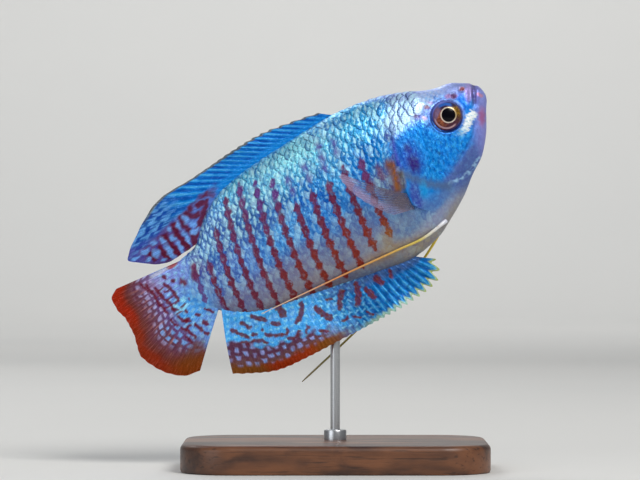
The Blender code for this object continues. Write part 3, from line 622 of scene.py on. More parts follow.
def head_marks(colour, back, up):
    """The small marks of the head, laid over the washes with a slightly trembling hand."""
    b, u = back + 0.16 * unrest(back, up, 0.5), up + 0.16 * unrest(back, up, 0.5, 3)
    share, across = mouth_place(back, up)
    streaky = 0.3 * unrest(back * 0.8 - up * 0.6, (up * 0.8 + back * 0.6) * 0.25, 0.16, 2)
    arc = strokes(
        b, u + streaky, [((3.8, -1.2), (4.7, -1.4), (5.7, -2.1), (6.6, -2.5), (7.8, -2.7))], 1.4, 0.22
    )
    arc = arc * fall(b + 2 * streaky, 6.4, 8.8) * rise(from_eye(back, up), 2.9, 3.08)
    chalk = lay(tone(250, 254, 252), tone(150, 200, 220), streaky > 0.1, 0.6)
    chalk = lay(chalk, tone(120, 200, 240), rise(b, 5.8, 7.6), 0.7)
    gape = hump(across + 0.02, 0, 0.3 + 0.36 * hump(share, 0.6, 0.34)) * rise(share, 0, 0.35)
    eye = from_eye(back, up)
    under = rise(back - EYE_BACK - (up - EYE_UP), -1.5, 3)
    fold = lay(tone(118, 134, 206), tone(40, 100, 180), under)
    ring = lay(tone(106, 114, 176), tone(36, 66, 132), under)
    colour = layered(colour, b, u, [
        (chalk, arc, 0.95),
        ((186, 96, 140), ((2.7, -2.4), (1.5, 0.6), -56, 0.7), 0.75),
        ((150, 122, 184), ((2.3, 2.4), (1.6, 0.65), -56, 0.6), 0.85),
        ((170, 156, 214), hump(across, 0.85, 0.4) * rise(share, 0.2, 0.6), 0.5),
        ((84, 56, 104), gape, 0.85),
        ((124, 108, 184), hump(across, -0.55, 0.3) * rise(share, 0.1, 0.4), 0.4),
        (fold, fall(eye, 3, 3.6), 0.75),
        (ring, fall(eye, 2.86, 3.04), 0.9),
    ])
    colour = layered(colour, b, u, [
        (spot, (centre, (radius * 1.2, radius * 0.85), 50, 0.6), 0.85) for centre, radius, spot in SPOTS
    ])
    plum = patch(b, u, (17.4, -2.5), (1, 1.6), 12, 0.6) + 0.7 * patch(b, u, (16.8, 0.4), (0.6, 0.9), 0, 0.6)
    glint = [((14.2, -8.9), (11.5, -9.35), (9.5, -9.15), (7.2, -8.1))]
    past = behind_gill(back, up)
    edge = hump(past, -0.25, 0.5) * between(up, -3.2, -0.5, 3, 4.2)
    band = strokes(b, u, [((20, -2.6), (19, -4.6), (17.2, -7), (14.6, -9.2))], 1.4, 0.65)
    corner = patch(b, u, (20.2, -7.5), (1.1, 2.5), 18)
    shade = strokes(b, u, [((21, -0.3), (21.4, -1.9), (22.6, -4.4))], 2.4, 0.6) * rise(past, 0, 0.4)
    shake = 0.4 * unrest(back, up, 0.7, 9)
    rust = (
        strokes(b + shake, u, [((20.8, -0.4), (21.2, -1.9), (22.1, -4.5))], 1.5, 0.6) * rise(past, 0, 0.4)
    )
    gold = strokes(b, u, [((20.3, -2.6), (20.6, -4.4), (21.6, -5))], 0.8, 0.4) * (past > -0.6)
    throat = patch(b, u, (24.5, -8.5), (3.5, 3.4)) * rise(past, 0, 0.4)
    ochre = (
        patch(b, u, (28.7, -11.2), (0.9, 2.6), 14, 0.7) + 0.7 * patch(b, u, (29.5, -13), (4.5, 0.9), 6, 0.7)
    )
    calm = np.clip(rust * 1.3 + 0.6 * shade + plum * 0.8 + 0.8 * arc + 0.9 * band, 0, 1.3)
    sparkle = rise(up, -8, 1.5) * 0.65 + 0.35
    cheek = patch(back, up, (12.5, -3), (6.8, 4.6), -16, 0.3)
    colour = layered(colour, b, u, [
        ((62, 74, 188), ((17.4, -1.6), (1.9, 2.9), 14, 0.7), 0.7),
        ((60, 26, 104), np.clip(plum, 0, 1), 0.88),
        ((176, 220, 250), strokes(b, u, glint, 0.5, 0.3) * rise(unrest(b, u, 0.45), -0.5, 0.4), 0.75),
        (VIOLET, edge, 0.85),
        ((84, 104, 142), band * (past < 0), 0.85),
        ((72, 76, 158), corner * (past < 0.1), 0.85),
        ((40, 168, 232), ((18.6, -7.3), (0.75, 1.5), 30, 0.5), 0.5),
        # a painted shadow: a dark line just behind the lower free edge of the gill cover
        (GILL_EDGE_SHADOW, hump(past, 0.1, 0.2) * between(-up, 3.6, 5.2, 7.5, 9.5), 0.6),
        ((104, 78, 96), shade, 0.75),
        ((124, 80, 52), rust, 0.92),
        ((168, 98, 36), rust * rise(unrest(back, up, 0.6, 2), 0, 0.6), 0.6),
        ((92, 54, 62), rust * rise(unrest(back, up, 0.45, 7), 0.1, 0.6), 0.6),
        ((132, 112, 60), gold, 0.7),
        ((120, 128, 150), throat, 0.6),
        ((164, 138, 92), np.clip(ochre, 0, 1), 0.55),
    ])
    # The ground's alpha sets how strongly the finish lays its painted glints, grains and scale edges:
    # weaker on the marks, the snout and the tail's root.
    colour[..., 3] = (
        np.maximum(sparkle, 0.75 * cheek) * (1 - 0.75 * calm) * (1 - 0.45 * rise(back, 58.5, 61))
    )
    colour[..., 3] = np.maximum(colour[..., 3], 0.8 * corner * (past < 0.1))
    colour[..., 3] *= 1 - 0.6 * fall(back, 3, 8)
    return colour


print(len(SPOTS), "spots on the head")

# %% Bars
BAR_TOPS = (3.4, 3.9, 3.3, 3.5, 3.3, 9, 10.4, 11.8, 11, 7.6, 3.6, 4.4, 0)
BAR_BOTTOMS = (-10.8, -11.2, -12.6, -12.4, -12.4, -11.6, -10.8, -9.6, -11.4, -9.2, -6.6, -2, 0)
PURPLE_PATCHES = (
    (34, 5.7), (33.6, 7.6), (37.6, 5.5), (37.3, 7.4), (30.8, 5.6), (30.2, 7.3), (29.5, 9.3), (27.4, 6.8),
    (26.9, 8.4),
)
REAR_STROKES = (
    ((57.4, 8), (55.4, 9.6), (53, 11.1), (50.6, 12.3)), ((52, 12.2), (53.4, 13.2), (54.9, 12.9)),
    ((60.5, 2.9), (59.9, 3.6), (59.5, 4.4)), ((62.5, 2.9), (62.9, 3.3)),
)


def stripe_strength(back, up):
    """1 where a bar runs at full width, 0 above its top and below its foot, from the nearest bar."""
    bar = np.clip(np.rint(column_at(back, up) / 2), 0, 12).astype(int)
    top, bottom = np.array(BAR_TOPS)[bar], np.array(BAR_BOTTOMS)[bar]
    shown = between(up, bottom - 0.7, bottom + 0.5, top - 0.5, top + 0.9)
    return shown * rise(column_at(back, up), -0.9, -0.7)


def stripe_colour(back, up):
    """Crimson on the upper and rear flank, rust low and forward, ember at the foot of the first bars."""
    colour = layered(CRIMSON, back, up, [
        ((112, 56, 100), rise(up, -1, 3.5), 0.85),
        ((110, 64, 120), fall(back, 25.6, 27.4) * rise(up, -1.5, 0.5), 0.8),
        ((98, 62, 150), rise(up, 4.6, 6.4) * fall(back, 44, 48), 0.7),
        (RUST, rise(-up, 1, 7.5) * fall(back, 42, 56), 0.9),
        ((104, 92, 170), rise(back, 58.8, 59.6) * fall(up, 1.2, 2.8), 0.75),
    ])
    return lay(colour, EMBER, rise(-up, 6.5, 11.5) * fall(back, 27, 33), 0.8)


def marked(back, up):
    """Ground and stripe colours for places on the body."""
    colour = head_marks(ground(back, up), back, up)
    b, u = back + 0.2 * unrest(back, up, 0.6), up + 0.2 * unrest(back, up, 0.6, 3)
    blots = np.maximum.reduce([patch(b, u, centre, (0.6, 0.95), 12, 0.6) for centre in PURPLE_PATCHES])
    rear = strokes(b, u, REAR_STROKES, 1.15, 0.25)
    orange = patch(b, u, (62.4, 6.6), (1.1, 0.5), 0, 0.5)
    haze = patch(b, u, (23.8, -2), (1.5, 2.4), 10, 0.6) + patch(b, u, (20.6, -5.2), (0.9, 1.5), 20, 0.6)
    short = strokes(b, u, [((22.9, 0.6), (23.3, -1.4)), ((25.6, -0.4), (25.5, -1.8))], 1.1, 0.45)
    colour = layered(colour, b, u, [
        ((92, 56, 148), blots, 0.9),
        ((112, 18, 44), rear, 0.95),
        ((196, 92, 56), orange, 0.8),
        ((120, 92, 82), np.clip(haze, 0, 1) * (behind_gill(b, u) > 0), 0.55),
        ((112, 62, 84), short, 0.85),
    ])
    colour[..., 3] *= 1 - 0.7 * np.clip(blots + rear + short + orange, 0, 1)
    return colour, stripe_colour(back, up)


print("ground on the nape:", marked(np.array([13.0]), np.array([6.0]))[0].round(2))

# %% [markdown]
# ## Shader maths as sentences
#
# A material in Blender is a graph of nodes. Written link by link it hides what it does, so one small class
# wraps an output and lets Python's own signs add the Math nodes. Colours go through Mix nodes, because a
# Math node would turn them grey.

# %% Shader tools
class Wire:
    """One output of a node. Adding, multiplying or comparing wires adds a Math node for it."""

    def __init__(self, paint, socket):
        self.paint, self.socket = paint, socket

    def _math(self, operation, first, second):
        return self.paint.node("ShaderNodeMath", {"operation": operation}, {0: first, 1: second})

    def __add__(self, other):
        return self._math("ADD", self, other)

    def __sub__(self, other):
        return self._math("SUBTRACT", self, other)

    def __rsub__(self, other):
        return self._math("SUBTRACT", other, self)

    def __mul__(self, other):
        return self._math("MULTIPLY", self, other)

    def __truediv__(self, other):
        return self._math("DIVIDE", self, other)

    def __pow__(self, other):
        return self._math("POWER", self, other)

    def __abs__(self):
        return self._math("ABSOLUTE", self, 0.0)

    __radd__, __rmul__ = __add__, __mul__

    def sine(self):
        return self._math("SINE", self, 0.0)

    def to_even(self):
        """Distance to the nearest even number."""
        return abs(self - 2.0 * self.paint.node("ShaderNodeMath", {"operation": "ROUND"}, {0: self * 0.5}))

    def clamp(self):
        return self.paint.node("ShaderNodeClamp", {}, {0: self})

    def rise(self, start, end):
        """Smooth step from 0 at start to 1 at end."""
        values = {0: self, 1: start, 2: end, 3: 0.0, 4: 1.0}
        return self.paint.node("ShaderNodeMapRange", {"interpolation_type": "SMOOTHSTEP"}, values)


class Paint:
    """A material under construction, with one method that makes any node."""

    def __init__(self, name, **constants):
        self.material = bpy.data.materials.new(name)
        self.material.use_nodes = True
        self.tree = self.material.node_tree
        self.shader = self.tree.nodes["Principled BSDF"]
        for socket, value in constants.items():
            self.shader.inputs[socket.replace("_", " ")].default_value = value

    def put(self, target, value):
        if isinstance(value, Wire):
            self.tree.links.new(value.socket, target)
        else:
            target.default_value = value

    def node(self, kind, settings, values, out=0):
        """A node by its type, settings first, then the values or wires of its sockets; gives one output."""
        made = self.tree.nodes.new(kind)
        for key, value in settings.items():
            if key == "stops":
                ramp = made.color_ramp
                while len(ramp.elements) < len(value):
                    ramp.elements.new(0.5)
                for stop, (place, colour) in zip(ramp.elements, value):
                    stop.position, stop.color = place, colour
            else:
                setattr(made, key, value)
        for key, value in values.items():
            self.put(made.inputs[key], value)
        return Wire(self, made.outputs[out])

    def attribute(self, name, out="Color"):
        return self.node("ShaderNodeAttribute", {"attribute_name": name}, {}, out)

    def place(self):
        """The point's place on the straight fish, in mm."""
        return self.attribute("place", "Vector")

    def split(self, vector):
        made = self.node("ShaderNodeSeparateXYZ", {}, {0: vector}).socket.node
        return [Wire(self, socket) for socket in made.outputs]

    def noise(self, where, scale, detail, out="Fac"):
        values = {"Vector": where, "Scale": scale, "Detail": detail}
        return self.node("ShaderNodeTexNoise", {}, values, out)

    def mix(self, first, second, factor):
        """Second over first; each is a colour or a wire."""
        return self.node("ShaderNodeMix", {"data_type": "RGBA"}, {0: factor, 6: first, 7: second}, 2)

    def layers(self, colour, layers):
        """Lays (colour, mask) pairs over a colour in their order; three numbers are a screen colour."""
        for over, mask in layers:
            colour = self.mix(colour, plain(*over) if isinstance(over, tuple) else over, mask)
        return colour

    def stretch(self, vector, by):
        return self.node("ShaderNodeVectorMath", {"operation": "MULTIPLY"}, {0: vector, 1: by})

    def bump(self, height, distance, strength=1.0):
        values = {"Height": height, "Distance": distance, "Strength": strength}
        return self.node("ShaderNodeBump", {}, values)

    def finish(self, **links):
        for socket, wire in links.items():
            self.put(self.shader.inputs[socket.replace("_", " ")], wire)
        return self.material


def plain(red, green, blue):
    """The same colour as four plain numbers, which a socket takes."""
    return tuple(float(v) for v in tone(red, green, blue))


# %% [markdown]
# ## The finish of skin and scales
#
# Fish scales are clear plates over a mirror of crystals, so their colour flashes. Here the flashes are
# painted: bright grains, painted glints, stand beside dull ones, each scale has its own brightness and a
# painted highlight across its middle, and its free edge is dark, partly its own margin and partly painted
# shade. The finish starts from the ground colour on the points, breaks it up with grains, lays the bars
# over it and then the edges. It is half metallic under a thin clear coat, which gives the wet gleam.

# %% Skin and scale finish
def fish_finish(name, scaled):
    """The finish of the body: painted glints in its grains, and where it is scaled each scale's own tone,
    a painted highlight and a dark edge that is partly painted shade.
    """
    paint = Paint(name, Coat_Roughness=0.14, Specular_IOR_Level=0.08, Coat_IOR=1.33)
    place = paint.place()
    back, _, up = paint.split(place)
    column, row, strength = paint.split(paint.attribute("net", "Vector"))
    # net, the ground's alpha, sets how strong the painted glints, grains and scale edges are
    base, net = paint.attribute("ground"), paint.attribute("ground", "Alpha")
    grain = paint.noise(paint.stretch(place, (1, 1, 0.75)), 1.9, 3)
    fleck = paint.noise(paint.stretch(place, (1.2, 1.2, 0.8)), 4.2, 3)
    stir = paint.node("ShaderNodeVectorMath", {"operation": "MULTIPLY_ADD"},
                      {0: paint.noise(place, 1.3, 2, "Color"), 1: (1.1, 1.1, 1.1), 2: place})
    stir = paint.stretch(stir, (1, 0.6, 0.72))
    plates = paint.node("ShaderNodeTexVoronoi", {}, {"Vector": stir, "Scale": 2.3}, "Color")
    plate, plate_two, _ = paint.split(plates)
    cracks = paint.node(
        "ShaderNodeTexVoronoi", {"feature": "DISTANCE_TO_EDGE"}, {"Vector": stir, "Scale": 2.3}
    )
    crack = cracks.rise(0.1, 0)
    pearl = paint.split(base)[0].rise(0.2, 0.4)
    # shine: the painted glints, brighter grains that stand in for light flashing off the scales; it also
    # raises the metallic weight
    shine = (
        (grain.rise(0.44, 0.66) * 0.4 + fleck.rise(0.5, 0.68) * 0.5 + plate.rise(0.55, 1) * 0.55).clamp()
        * net
    )
    bright = paint.mix(paint.stretch(base, (1.7, 1.8, 1.8)), plain(128, 226, 250), 0.3)
    colour = paint.mix(base, bright, shine * (0.85 - pearl * 0.45))
    dull = (grain.rise(0.54, 0.34) * 0.5 + plate_two.rise(0.6, 1) * 0.5 + crack * 0.35).clamp() * net
    colour = paint.mix(colour, paint.mix(base, plain(0, 58, 170), 0.75), dull * (0.8 - pearl * 0.45))
    height = fleck * 0.4 + grain * 0.3 + plate * 0.45 - crack * 0.3
    if scaled:
        across, length, draw = paint.split(paint.attribute("lie", "Vector"))
        upper = up.rise(1.5, 6.5)
        colour = paint.layers(colour, [
            ((0, 64, 160), draw.rise(0.4, 0) * 0.42 * net),
            ((196, 236, 244), draw.rise(0.6, 1) * 0.36 * net),
        ])
        # rim darkens each scale's free rear edge: partly its own darker margin, partly painted shade at the
        # step
        rim = (
            (length + (grain - 0.5) * 0.25).rise(0.8, 0.97) * (fleck.rise(0.64, 0.42) + pearl * 0.2).clamp()
        )
        # light: a painted highlight across the middle of each scale
        light = length.rise(0.5, 0.66) * (1 - length.rise(0.7, 0.86)) * grain.rise(0.4, 0.55)
        colour = paint.layers(colour, [
            ((190, 240, 246), light * (net - 0.2).clamp() * (0.45 + upper * 0.5 - pearl * 0.3)),
            ((14, 56, 120), rim * (net - 0.3).clamp() * (0.45 + pearl * 0.4 + upper * 0.5)),
        ])
        height = height + (length * 46).sine() * 0.1
    # the bars: chains of diamonds, widest on the even rows, along every even column
    column_gap, row_gap = column.to_even(), row.to_even()
    ragged = (paint.noise(place, 1.3, 3) - 0.5) * 0.6 + (fleck - 0.5) * 0.55
    half = (0.2 + 0.26 * (1 - row_gap) + ragged) * strength
    bar = (half - column_gap).rise(-0.1, 0.1) * strength.rise(0.05, 0.5)
    stripe = paint.mix(paint.attribute("stripe"), plain(66, 16, 34), fleck.rise(0.46, 0.7) * 0.45)
    stripe = paint.mix(stripe, plain(150, 76, 84), fleck.rise(0.46, 0.3) * 0.35)
    high_up = up.rise(0, 5) * (1 - back.rise(43, 49))
    bead = 1 - row_gap.rise(0.45, 1) * (0.06 + high_up * 0.3)
    colour = paint.mix(colour, stripe, bar * bead * (0.97 - grain.rise(0.52, 0.7) * 0.3))
    if scaled:
        # the scale edges, partly painted shade, stay faintly dark across the bars
        colour = paint.mix(colour, plain(10, 20, 70), rim * bar * 0.35)
    return paint.finish(
        Base_Color=colour, Roughness=0.32 + grain * 0.16, Metallic=0.5 + shine * 0.25 - bar * 0.35,
        Coat_Weight=0.04 + net * 0.08, Normal=paint.bump(height, 0.00008, 0.6))


skin_finish = fish_finish("fish_skin", False)
scale_finish = fish_finish("fish_scales", True)
print("nodes in the scale finish:", len(scale_finish.node_tree.nodes))

# %% [markdown]
# ## One skin
#
# The CAD model cuts the body into head, gill covers, torso and tail, because a workshop would. On the
# animal no seam shows, so one closed surface stands for all of them. It is a grid of rings from the tip of
# the snout to the root of the tail fin, set closest where the head has its fine relief.

# %% Skin
SKIN_ROUND = 330


def skin_stations():
    """Distances back of the rings: close on the head, wider past the gills, and close again at the end."""
    spacing = (
        (0, 0.035), (1.2, 0.12), (10, 0.13), (13, 0.18), (18, 0.16), (22.4, 0.16), (25, 0.5), (60, 0.55),
        (65, 0.12),
    )
    fine = np.linspace(0.0, SKIN_END, 4000)
    count = running(np.diff(fine) / along(spacing, (fine[1:] + fine[:-1]) / 2))
    return np.interp(np.arange(1, int(count[-1])), count, fine)


def closed_tube(rings, first, last):
    """Points and faces of a tube of rings with a fan to one point at each end."""
    rows, columns, _ = rings.shape
    points = np.vstack([[first], rings.reshape(-1, 3), [last]])
    j = np.arange(columns)
    front = np.stack([np.zeros(columns, int), 1 + (j + 1) % columns, 1 + j], -1)
    end = 1 + (rows - 1) * columns
    rear = np.stack([np.full(columns, end + columns), end + j, end + (j + 1) % columns], -1)
    return points, [grid_faces(rows, columns, True, 1), front, rear]


stations = skin_stations()
skin_turn = around(SKIN_ROUND)
skin_rings = skin_point(stations[:, None], skin_turn[None])
skin_points, skin_faces = closed_tube(
    skin_rings, skin_rings[0].mean(0) - (0.05, 0, 0), skin_rings[-1].mean(0)
)
skin = build("skin", on_stand(skin_points), skin_faces)

skin_back, skin_up = skin_points[:, 0], skin_points[:, 2]
skin_ground, skin_stripe = marked(skin_back, skin_up)
half_turn = np.where(skin_turn > math.pi, 2 * math.pi - skin_turn, skin_turn)
skin_rows = row_at(np.repeat(stations, SKIN_ROUND), np.tile(half_turn, len(stations)))
skin_rows = np.concatenate([[0], skin_rows, [0]])
skin_net = np.stack([column_at(skin_back, skin_up), skin_rows, stripe_strength(skin_back, skin_up)], -1)
carry(skin, place=skin_points, net=skin_net, ground=skin_ground, stripe=skin_stripe)
skin_uv = stacked(stations[:, None] / SKIN_END, (skin_turn / (2 * math.pi))[None])
bake_map(skin, np.vstack([[(0, 0.5)], skin_uv.reshape(-1, 2), [(1, 0.5)]]) * 0.96 + 0.02)
settle(skin, "scaled_skin", skin_finish, *SKIN_NODES)

# %% [markdown]
# ## The coat of scales
#
# Each scale is a thin closed plate: a small grid on top, a wall round it and a fan beneath. Its front is
# buried in the skin under the scales before it, and its rear edge, rounded to a blunt point, stands free.
# All the plates of one side are worked out in one array and joined in one mesh. Placing every point through
# the net lets each plate follow the surface that it lies on. Scales are smaller and flatter on the cheek
# and breast.

# %% Scale shape
LIE = np.array([0.0, 0.32, 0.56, 0.76, 0.9, 1.0])
ACROSS = np.array([-1.0, -0.55, 0.0, 0.55, 1.0])
SCALE_MIDDLE = 2 * len(ACROSS) + 2  # the number of the point in the middle of the grid
SCALE_THICK, SCALE_MAP = 0.085, 0.0014  # thickness in mm, and the size of one scale on the UV map


def scale_sheet():
    """Offsets of one scale's top in columns and rows, and its height: the rear edge is a blunt point, the
    front half the width, and the height grows towards the rear and the middle."""
    length, across = np.meshgrid(LIE, ACROSS, indexing="ij")
    rear = 0.2 + 0.36 * (1 - np.abs(across) ** 2.2)
    column = -0.98 + length * (rear + 0.98)
    row = across * (0.42 + 0.66 * rise(length, 0, 0.6) - 0.1 * rise(length, 0.7, 1))
    height = -0.07 + 0.235 * length**1.15 + 0.05 * (1 - across**2) * length - 0.035 * rise(length, 0.9, 1)
    return column, row, height, across, length


def scale_faces():
    """Faces of one scale: the top grid, the wall round its rim, and a fan to one point under it."""
    rows, columns = len(LIE), len(ACROSS)
    top = grid_faces(rows, columns)
    index = np.arange(rows * columns).reshape(rows, columns)
    rim = np.concatenate([index[0, :-1], index[:-1, -1], index[-1, :0:-1], index[:0:-1, 0]])
    low = rows * columns + np.arange(len(rim))
    after, low_after = np.roll(rim, -1), np.roll(low, -1)
    wall = np.stack([after, rim, low, low_after], -1)
    fan = np.stack([low_after, low, np.full(len(rim), low[-1] + 1)], -1)
    return top, wall, fan, rim


SCALE_TOP, SCALE_WALL, SCALE_FAN, SCALE_RIM = scale_faces()
print("faces of a scale:", len(SCALE_TOP) + len(SCALE_WALL) + len(SCALE_FAN))

# %% Where scales grow
NAPE_END = -3.4  # the flank's net begins at this column


def front_edge(up):
    """Where the scaled nape begins, level by level."""
    return along(((-16, 15.5), (-12, 19.6), (3.2, 18.4), (4.4, 12.6), (5.6, 10.4), (8, 10.2), (12, 15)), up)


def scattered(columns, rows, seed, spread, size=1.0, first_row=0.0):
    """The numbers of a net's scales: every second row lies half a column on, each scale a little off."""
    c, r = np.meshgrid(np.arange(*columns), np.arange(*rows), indexing="ij")
    c, r = (c + 0.5 * (r % 2)).ravel() * size, r.ravel() * size + first_row
    draw = np.random.default_rng(seed)
    return c + draw.normal(0, spread[0], len(c)), r + draw.normal(0, spread[1], len(r))


def on_body(c, r):
    """Back, turn and height of places in the flank's net, and whether the net reaches them."""
    back, turn = net_place(c, r)
    return back, turn, body_point(back, turn)[..., 2], np.abs(row_at(back, turn) - r) < 0.1


def chosen(c, r, kept, size=1.0, stands=1.0):
    """The scales that are kept, with their size and how far they stand off the skin."""
    return c[kept], r[kept], np.full(kept.sum(), size), np.full(kept.sum(), stands)


def flank_scales(seed):
    """Net places of the body's scales on one side, dropped in front of the gill and off the fin roots."""
    c, r = scattered((-14, 25), (-18, 20), seed, (0.07, 0.08))
    back, turn, up, found = on_body(c, r)
    kept = found & (turn > 0.0) & (turn < math.pi) & (back > 8) & (back < 62.0)
    kept &= back > np.maximum(front_edge(up), np.where(up < 3.6, along(GILL_EDGE, up) + 0.5, 0))
    kept &= (column_at(back, up) > NAPE_END) | (up < 3.6)
    return chosen(c, r, kept)


def nape_scales(seed):
    """The larger scales of the nape, on their own net, up to where the flank's net takes over."""
    c, r = scattered((-8, 5), (-9, 0), seed, (0.08, 0.06), first_row=0.3)
    back, turn = nape_place(c, r)
    up = body_point(back, turn)[..., 2]
    kept = (back > front_edge(up)) & (up > 3.5) & (column_at(back, up) <= NAPE_END + 0.3)
    return chosen(c, r, kept)


def face_scales(seed):
    """Smaller scales on the cheek and gill cover, on a net of two thirds the pitch."""
    size = 0.66
    c, r = scattered((-30, 6), (-20, 12), seed, (0.03, 0.03), size)
    back, turn, up, found = on_body(c, r)
    cheek = (from_eye(back, up) > 3.9) & (back > 6.5) & (back < along(GILL_EDGE, up) - 1.15)
    cheek &= (up > -0.33 * back - 1.9) & (up < 3.7) & (back > 7.5 - 0.5 * up)
    cheek &= line_distance(back, up, CHEEK_FOLD) > 0.45
    breast = (up < -0.33 * back - 4.0) & (back > 13.5) & (back < along(GILL_EDGE, up) - 0.9) & (up > -11)
    kept = found & (turn > 0.2) & (cheek | breast)
    return chosen(c, r, kept, size, 0.12)


print("scales on the nape of one side:", len(nape_scales(14)[0]))

# %% Joined scales
def placed(c, r, first):
    """Places in the nape's net for the first ones and in the flank's net for the rest."""
    nape, rest = nape_place(c[:first], r[:first]), net_place(c[first:], r[first:])
    return (np.concatenate(pair) for pair in zip(nape, rest))


def scale_coat(name, side, seed):
    """Every scale of one side as one mesh. side 1 is the left: its turn runs from the back down the left
    flank; the right side runs the other way round."""
    nape = nape_scales(seed + 3)
    c0, r0, size, stands = (
        np.concatenate(pair) for pair in zip(nape, flank_scales(seed), face_scales(seed + 5))
    )
    count, first = len(c0), len(nape[0])
    draw = np.random.default_rng(seed + 9)
    column, row, height, across, length = (a.ravel() for a in scale_sheet())
    twist = draw.normal(0, 0.06, count)
    root_back, root_turn = placed(c0, r0, first)
    column_at_point = column[None] + row[None] * twist[:, None]
    c = c0[:, None] + column_at_point * size[:, None]
    r = r0[:, None] + row[None] * size[:, None] * draw.uniform(0.97, 1.05, count)[:, None]
    back, turn = placed(c.ravel(), r.ravel(), first * len(column))
    lift = height[None] * draw.uniform(0.8, 1.2, count)[:, None]
    lift = lift + draw.normal(0, 0.035, count)[:, None] * row[None] * length[None]
    lift = lift * (0.4 + 0.6 * stands[:, None])
    calm = rise(
        np.repeat(body_point(root_back, root_turn)[..., 2], len(column)), -5, 6.5
    ).reshape(count, -1)
    lift = lift * (0.14 + 0.86 * calm) * (1 - 0.85 * rise(root_back, 57.5, 60.5)[:, None])
    turn = turn if side > 0 else -turn
    top = skin_point(back, turn, lift.ravel()).reshape(count, -1, 3)
    thick = np.maximum(lift.ravel() - SCALE_THICK, -0.1)
    under = skin_point(back, turn, thick).reshape(count, -1, 3)
    middle = under[:, SCALE_MIDDLE] - (0, 0.06 * side, 0)
    points = np.concatenate([top, under[:, SCALE_RIM], middle[:, None]], axis=1)
    each = points.shape[1]
    faces = []
    for part in (SCALE_TOP, SCALE_WALL, SCALE_FAN):
        turned = part if side > 0 else part[:, ::-1]
        faces.append((np.arange(count)[:, None, None] * each + turned[None]).reshape(-1, part.shape[1]))
    flat = points.reshape(-1, 3)
    made = build(name, on_stand(flat), faces)
    made.data.set_sharp_from_angle(angle=math.radians(40))
    source = np.concatenate([np.arange(len(column)), SCALE_RIM, [SCALE_MIDDLE]])
    lie = np.stack([across[source], length[source], np.zeros(len(source))], -1)
    lie = np.repeat(lie[None], count, axis=0)
    lie[:, :, 1] *= np.where(size < 1, 0.45, 1.0)[:, None]
    bright = draw.uniform(0, 1, count)
    lie[:, :, 2] = np.where(size < 1, 0.5 + 0.2 * (bright - 0.5), bright)[:, None]
    colour, stripe = marked(flat[:, 0], flat[:, 2])
    strength = stripe_strength(flat[:, 0], flat[:, 2])
    net = np.stack(
        [column_at(flat[:, 0], flat[:, 2]), r.reshape(count, -1)[:, source].ravel(), strength], -1
    )
    carry(made, place=flat, net=net, lie=lie.reshape(-1, 3), ground=colour, stripe=stripe)
    spread = root_turn / (2 * math.pi)
    root_uv = np.stack([root_back / SKIN_END, spread if side > 0 else 1 - spread], -1) * 0.96 + 0.02
    local = np.stack([column[source], row[source]], -1) * SCALE_MAP
    bake_map(made, (root_uv[:, None] + local[None]).reshape(-1, 2))
    print(name, "has", count, "scales")
    return settle(made, "scaled_skin", scale_finish, *SKIN_NODES)


scale_coat("scales_right", -1, 11)
scale_coat("scales_left", 1, 12)

# %% [markdown]
# ## Fins
#
# A fin is a film of skin over a fan of rays. Each ray leaves the body at its own angle with its own length,
# so the fin is a grid: one number runs along the root from ray to ray, the other from root to tip. The film
# is a closed plate round that grid, swollen into a ridge on both faces over each ray. The rays of the tail
# and the long ends of the other fins fork, so past the middle each ridge parts in two.

# %% Fin shapes
BODY_GAP = 0.35  # the CAD fins stand this far off the body; here they start inside it
FILM, RIB = 0.07, 0.09  # half thickness of the film between the rays, and what a ray adds to it
DORSAL = {
    "rays": 25, "span": (24.9, 58.4),
    "angle": ((0, 42), (0.1, 36), (0.5, 34), (0.6, 32), (0.72, 26), (0.8, 11), (0.86, 1.5), (1, 0)),
    "length": (
        (0, 1.8), (0.1, 4.3), (0.2, 5.9), (0.3, 6.3), (0.5, 6.3), (0.6, 6.9), (0.72, 9.8), (0.8, 12.7),
        (0.86, 15), (0.93, 10.2), (1, 4.4),
    ),
    "notch": ((0, 0.16), (0.3, 0.05), (0.6, 0.012), (1, 0.008)), "curl": 0.02, "wave": 0.7, "waves": 2.2,
}
ANAL = {
    "rays": 33, "span": (25.6, 60.2),
    "angle": (
        (0, -138), (0.03, -124), (0.06, -113), (0.2, -96), (0.45, -88), (0.7, -76), (0.88, -66), (1, -61)
    ),
    "length": (
        (0, 2.8), (0.03, 4.6), (0.06, 5.9), (0.2, 7.1), (0.45, 8.4), (0.7, 9.4), (0.86, 10.3), (0.95, 10.4),
        (1, 10.7)
    ),
    "notch": ((0, 0.34), (0.12, 0.2), (0.3, 0.07), (0.45, 0.015), (1, 0.01)), "curl": -0.03, "wave": 0.8,
    "waves": 2.6,
}
CAUDAL = {
    "rays": 16, "root": ((61.2, 6.6), (61.6, 1), (60.85, -4.75)),
    "angle": (
        (0, 10.3), (0.05, 7.5), (0.12, 2), (0.25, -1.5), (0.4, -5.8), (0.5, -9.9), (0.6, -12.6),
        (0.75, -20.7), (0.9, -30.3), (1, -37.9)
    ),
    "length": (
        (0, 12.8), (0.05, 14.5), (0.12, 14.7), (0.25, 14.2), (0.4, 14.3), (0.5, 15.1), (0.6, 15.8),
        (0.75, 15.3), (0.9, 13.7), (1, 11)
    ),
    "notch": ((0, 0.006), (1, 0.006)), "curl": 0, "wave": 0.5, "waves": 1.3,
}
PECTORAL = {
    "rays": 10, "root": ((22.1, -5.5), (22.8, -8.8)),
    "angle": ((0, 47), (0.25, 42), (0.5, 34), (0.75, 27), (1, 16)),
    "length": ((0, 11.2), (0.1, 11.6), (0.3, 10.2), (0.5, 7.9), (0.75, 5.2), (1, 2.8)),
    "notch": ((0, 0.02), (1, 0.04)), "curl": 0.03, "wave": 0, "waves": 1, "outward": 0.25,
}


print("rays:", *(fin["rays"] for fin in (DORSAL, ANAL, CAUDAL, PECTORAL)))

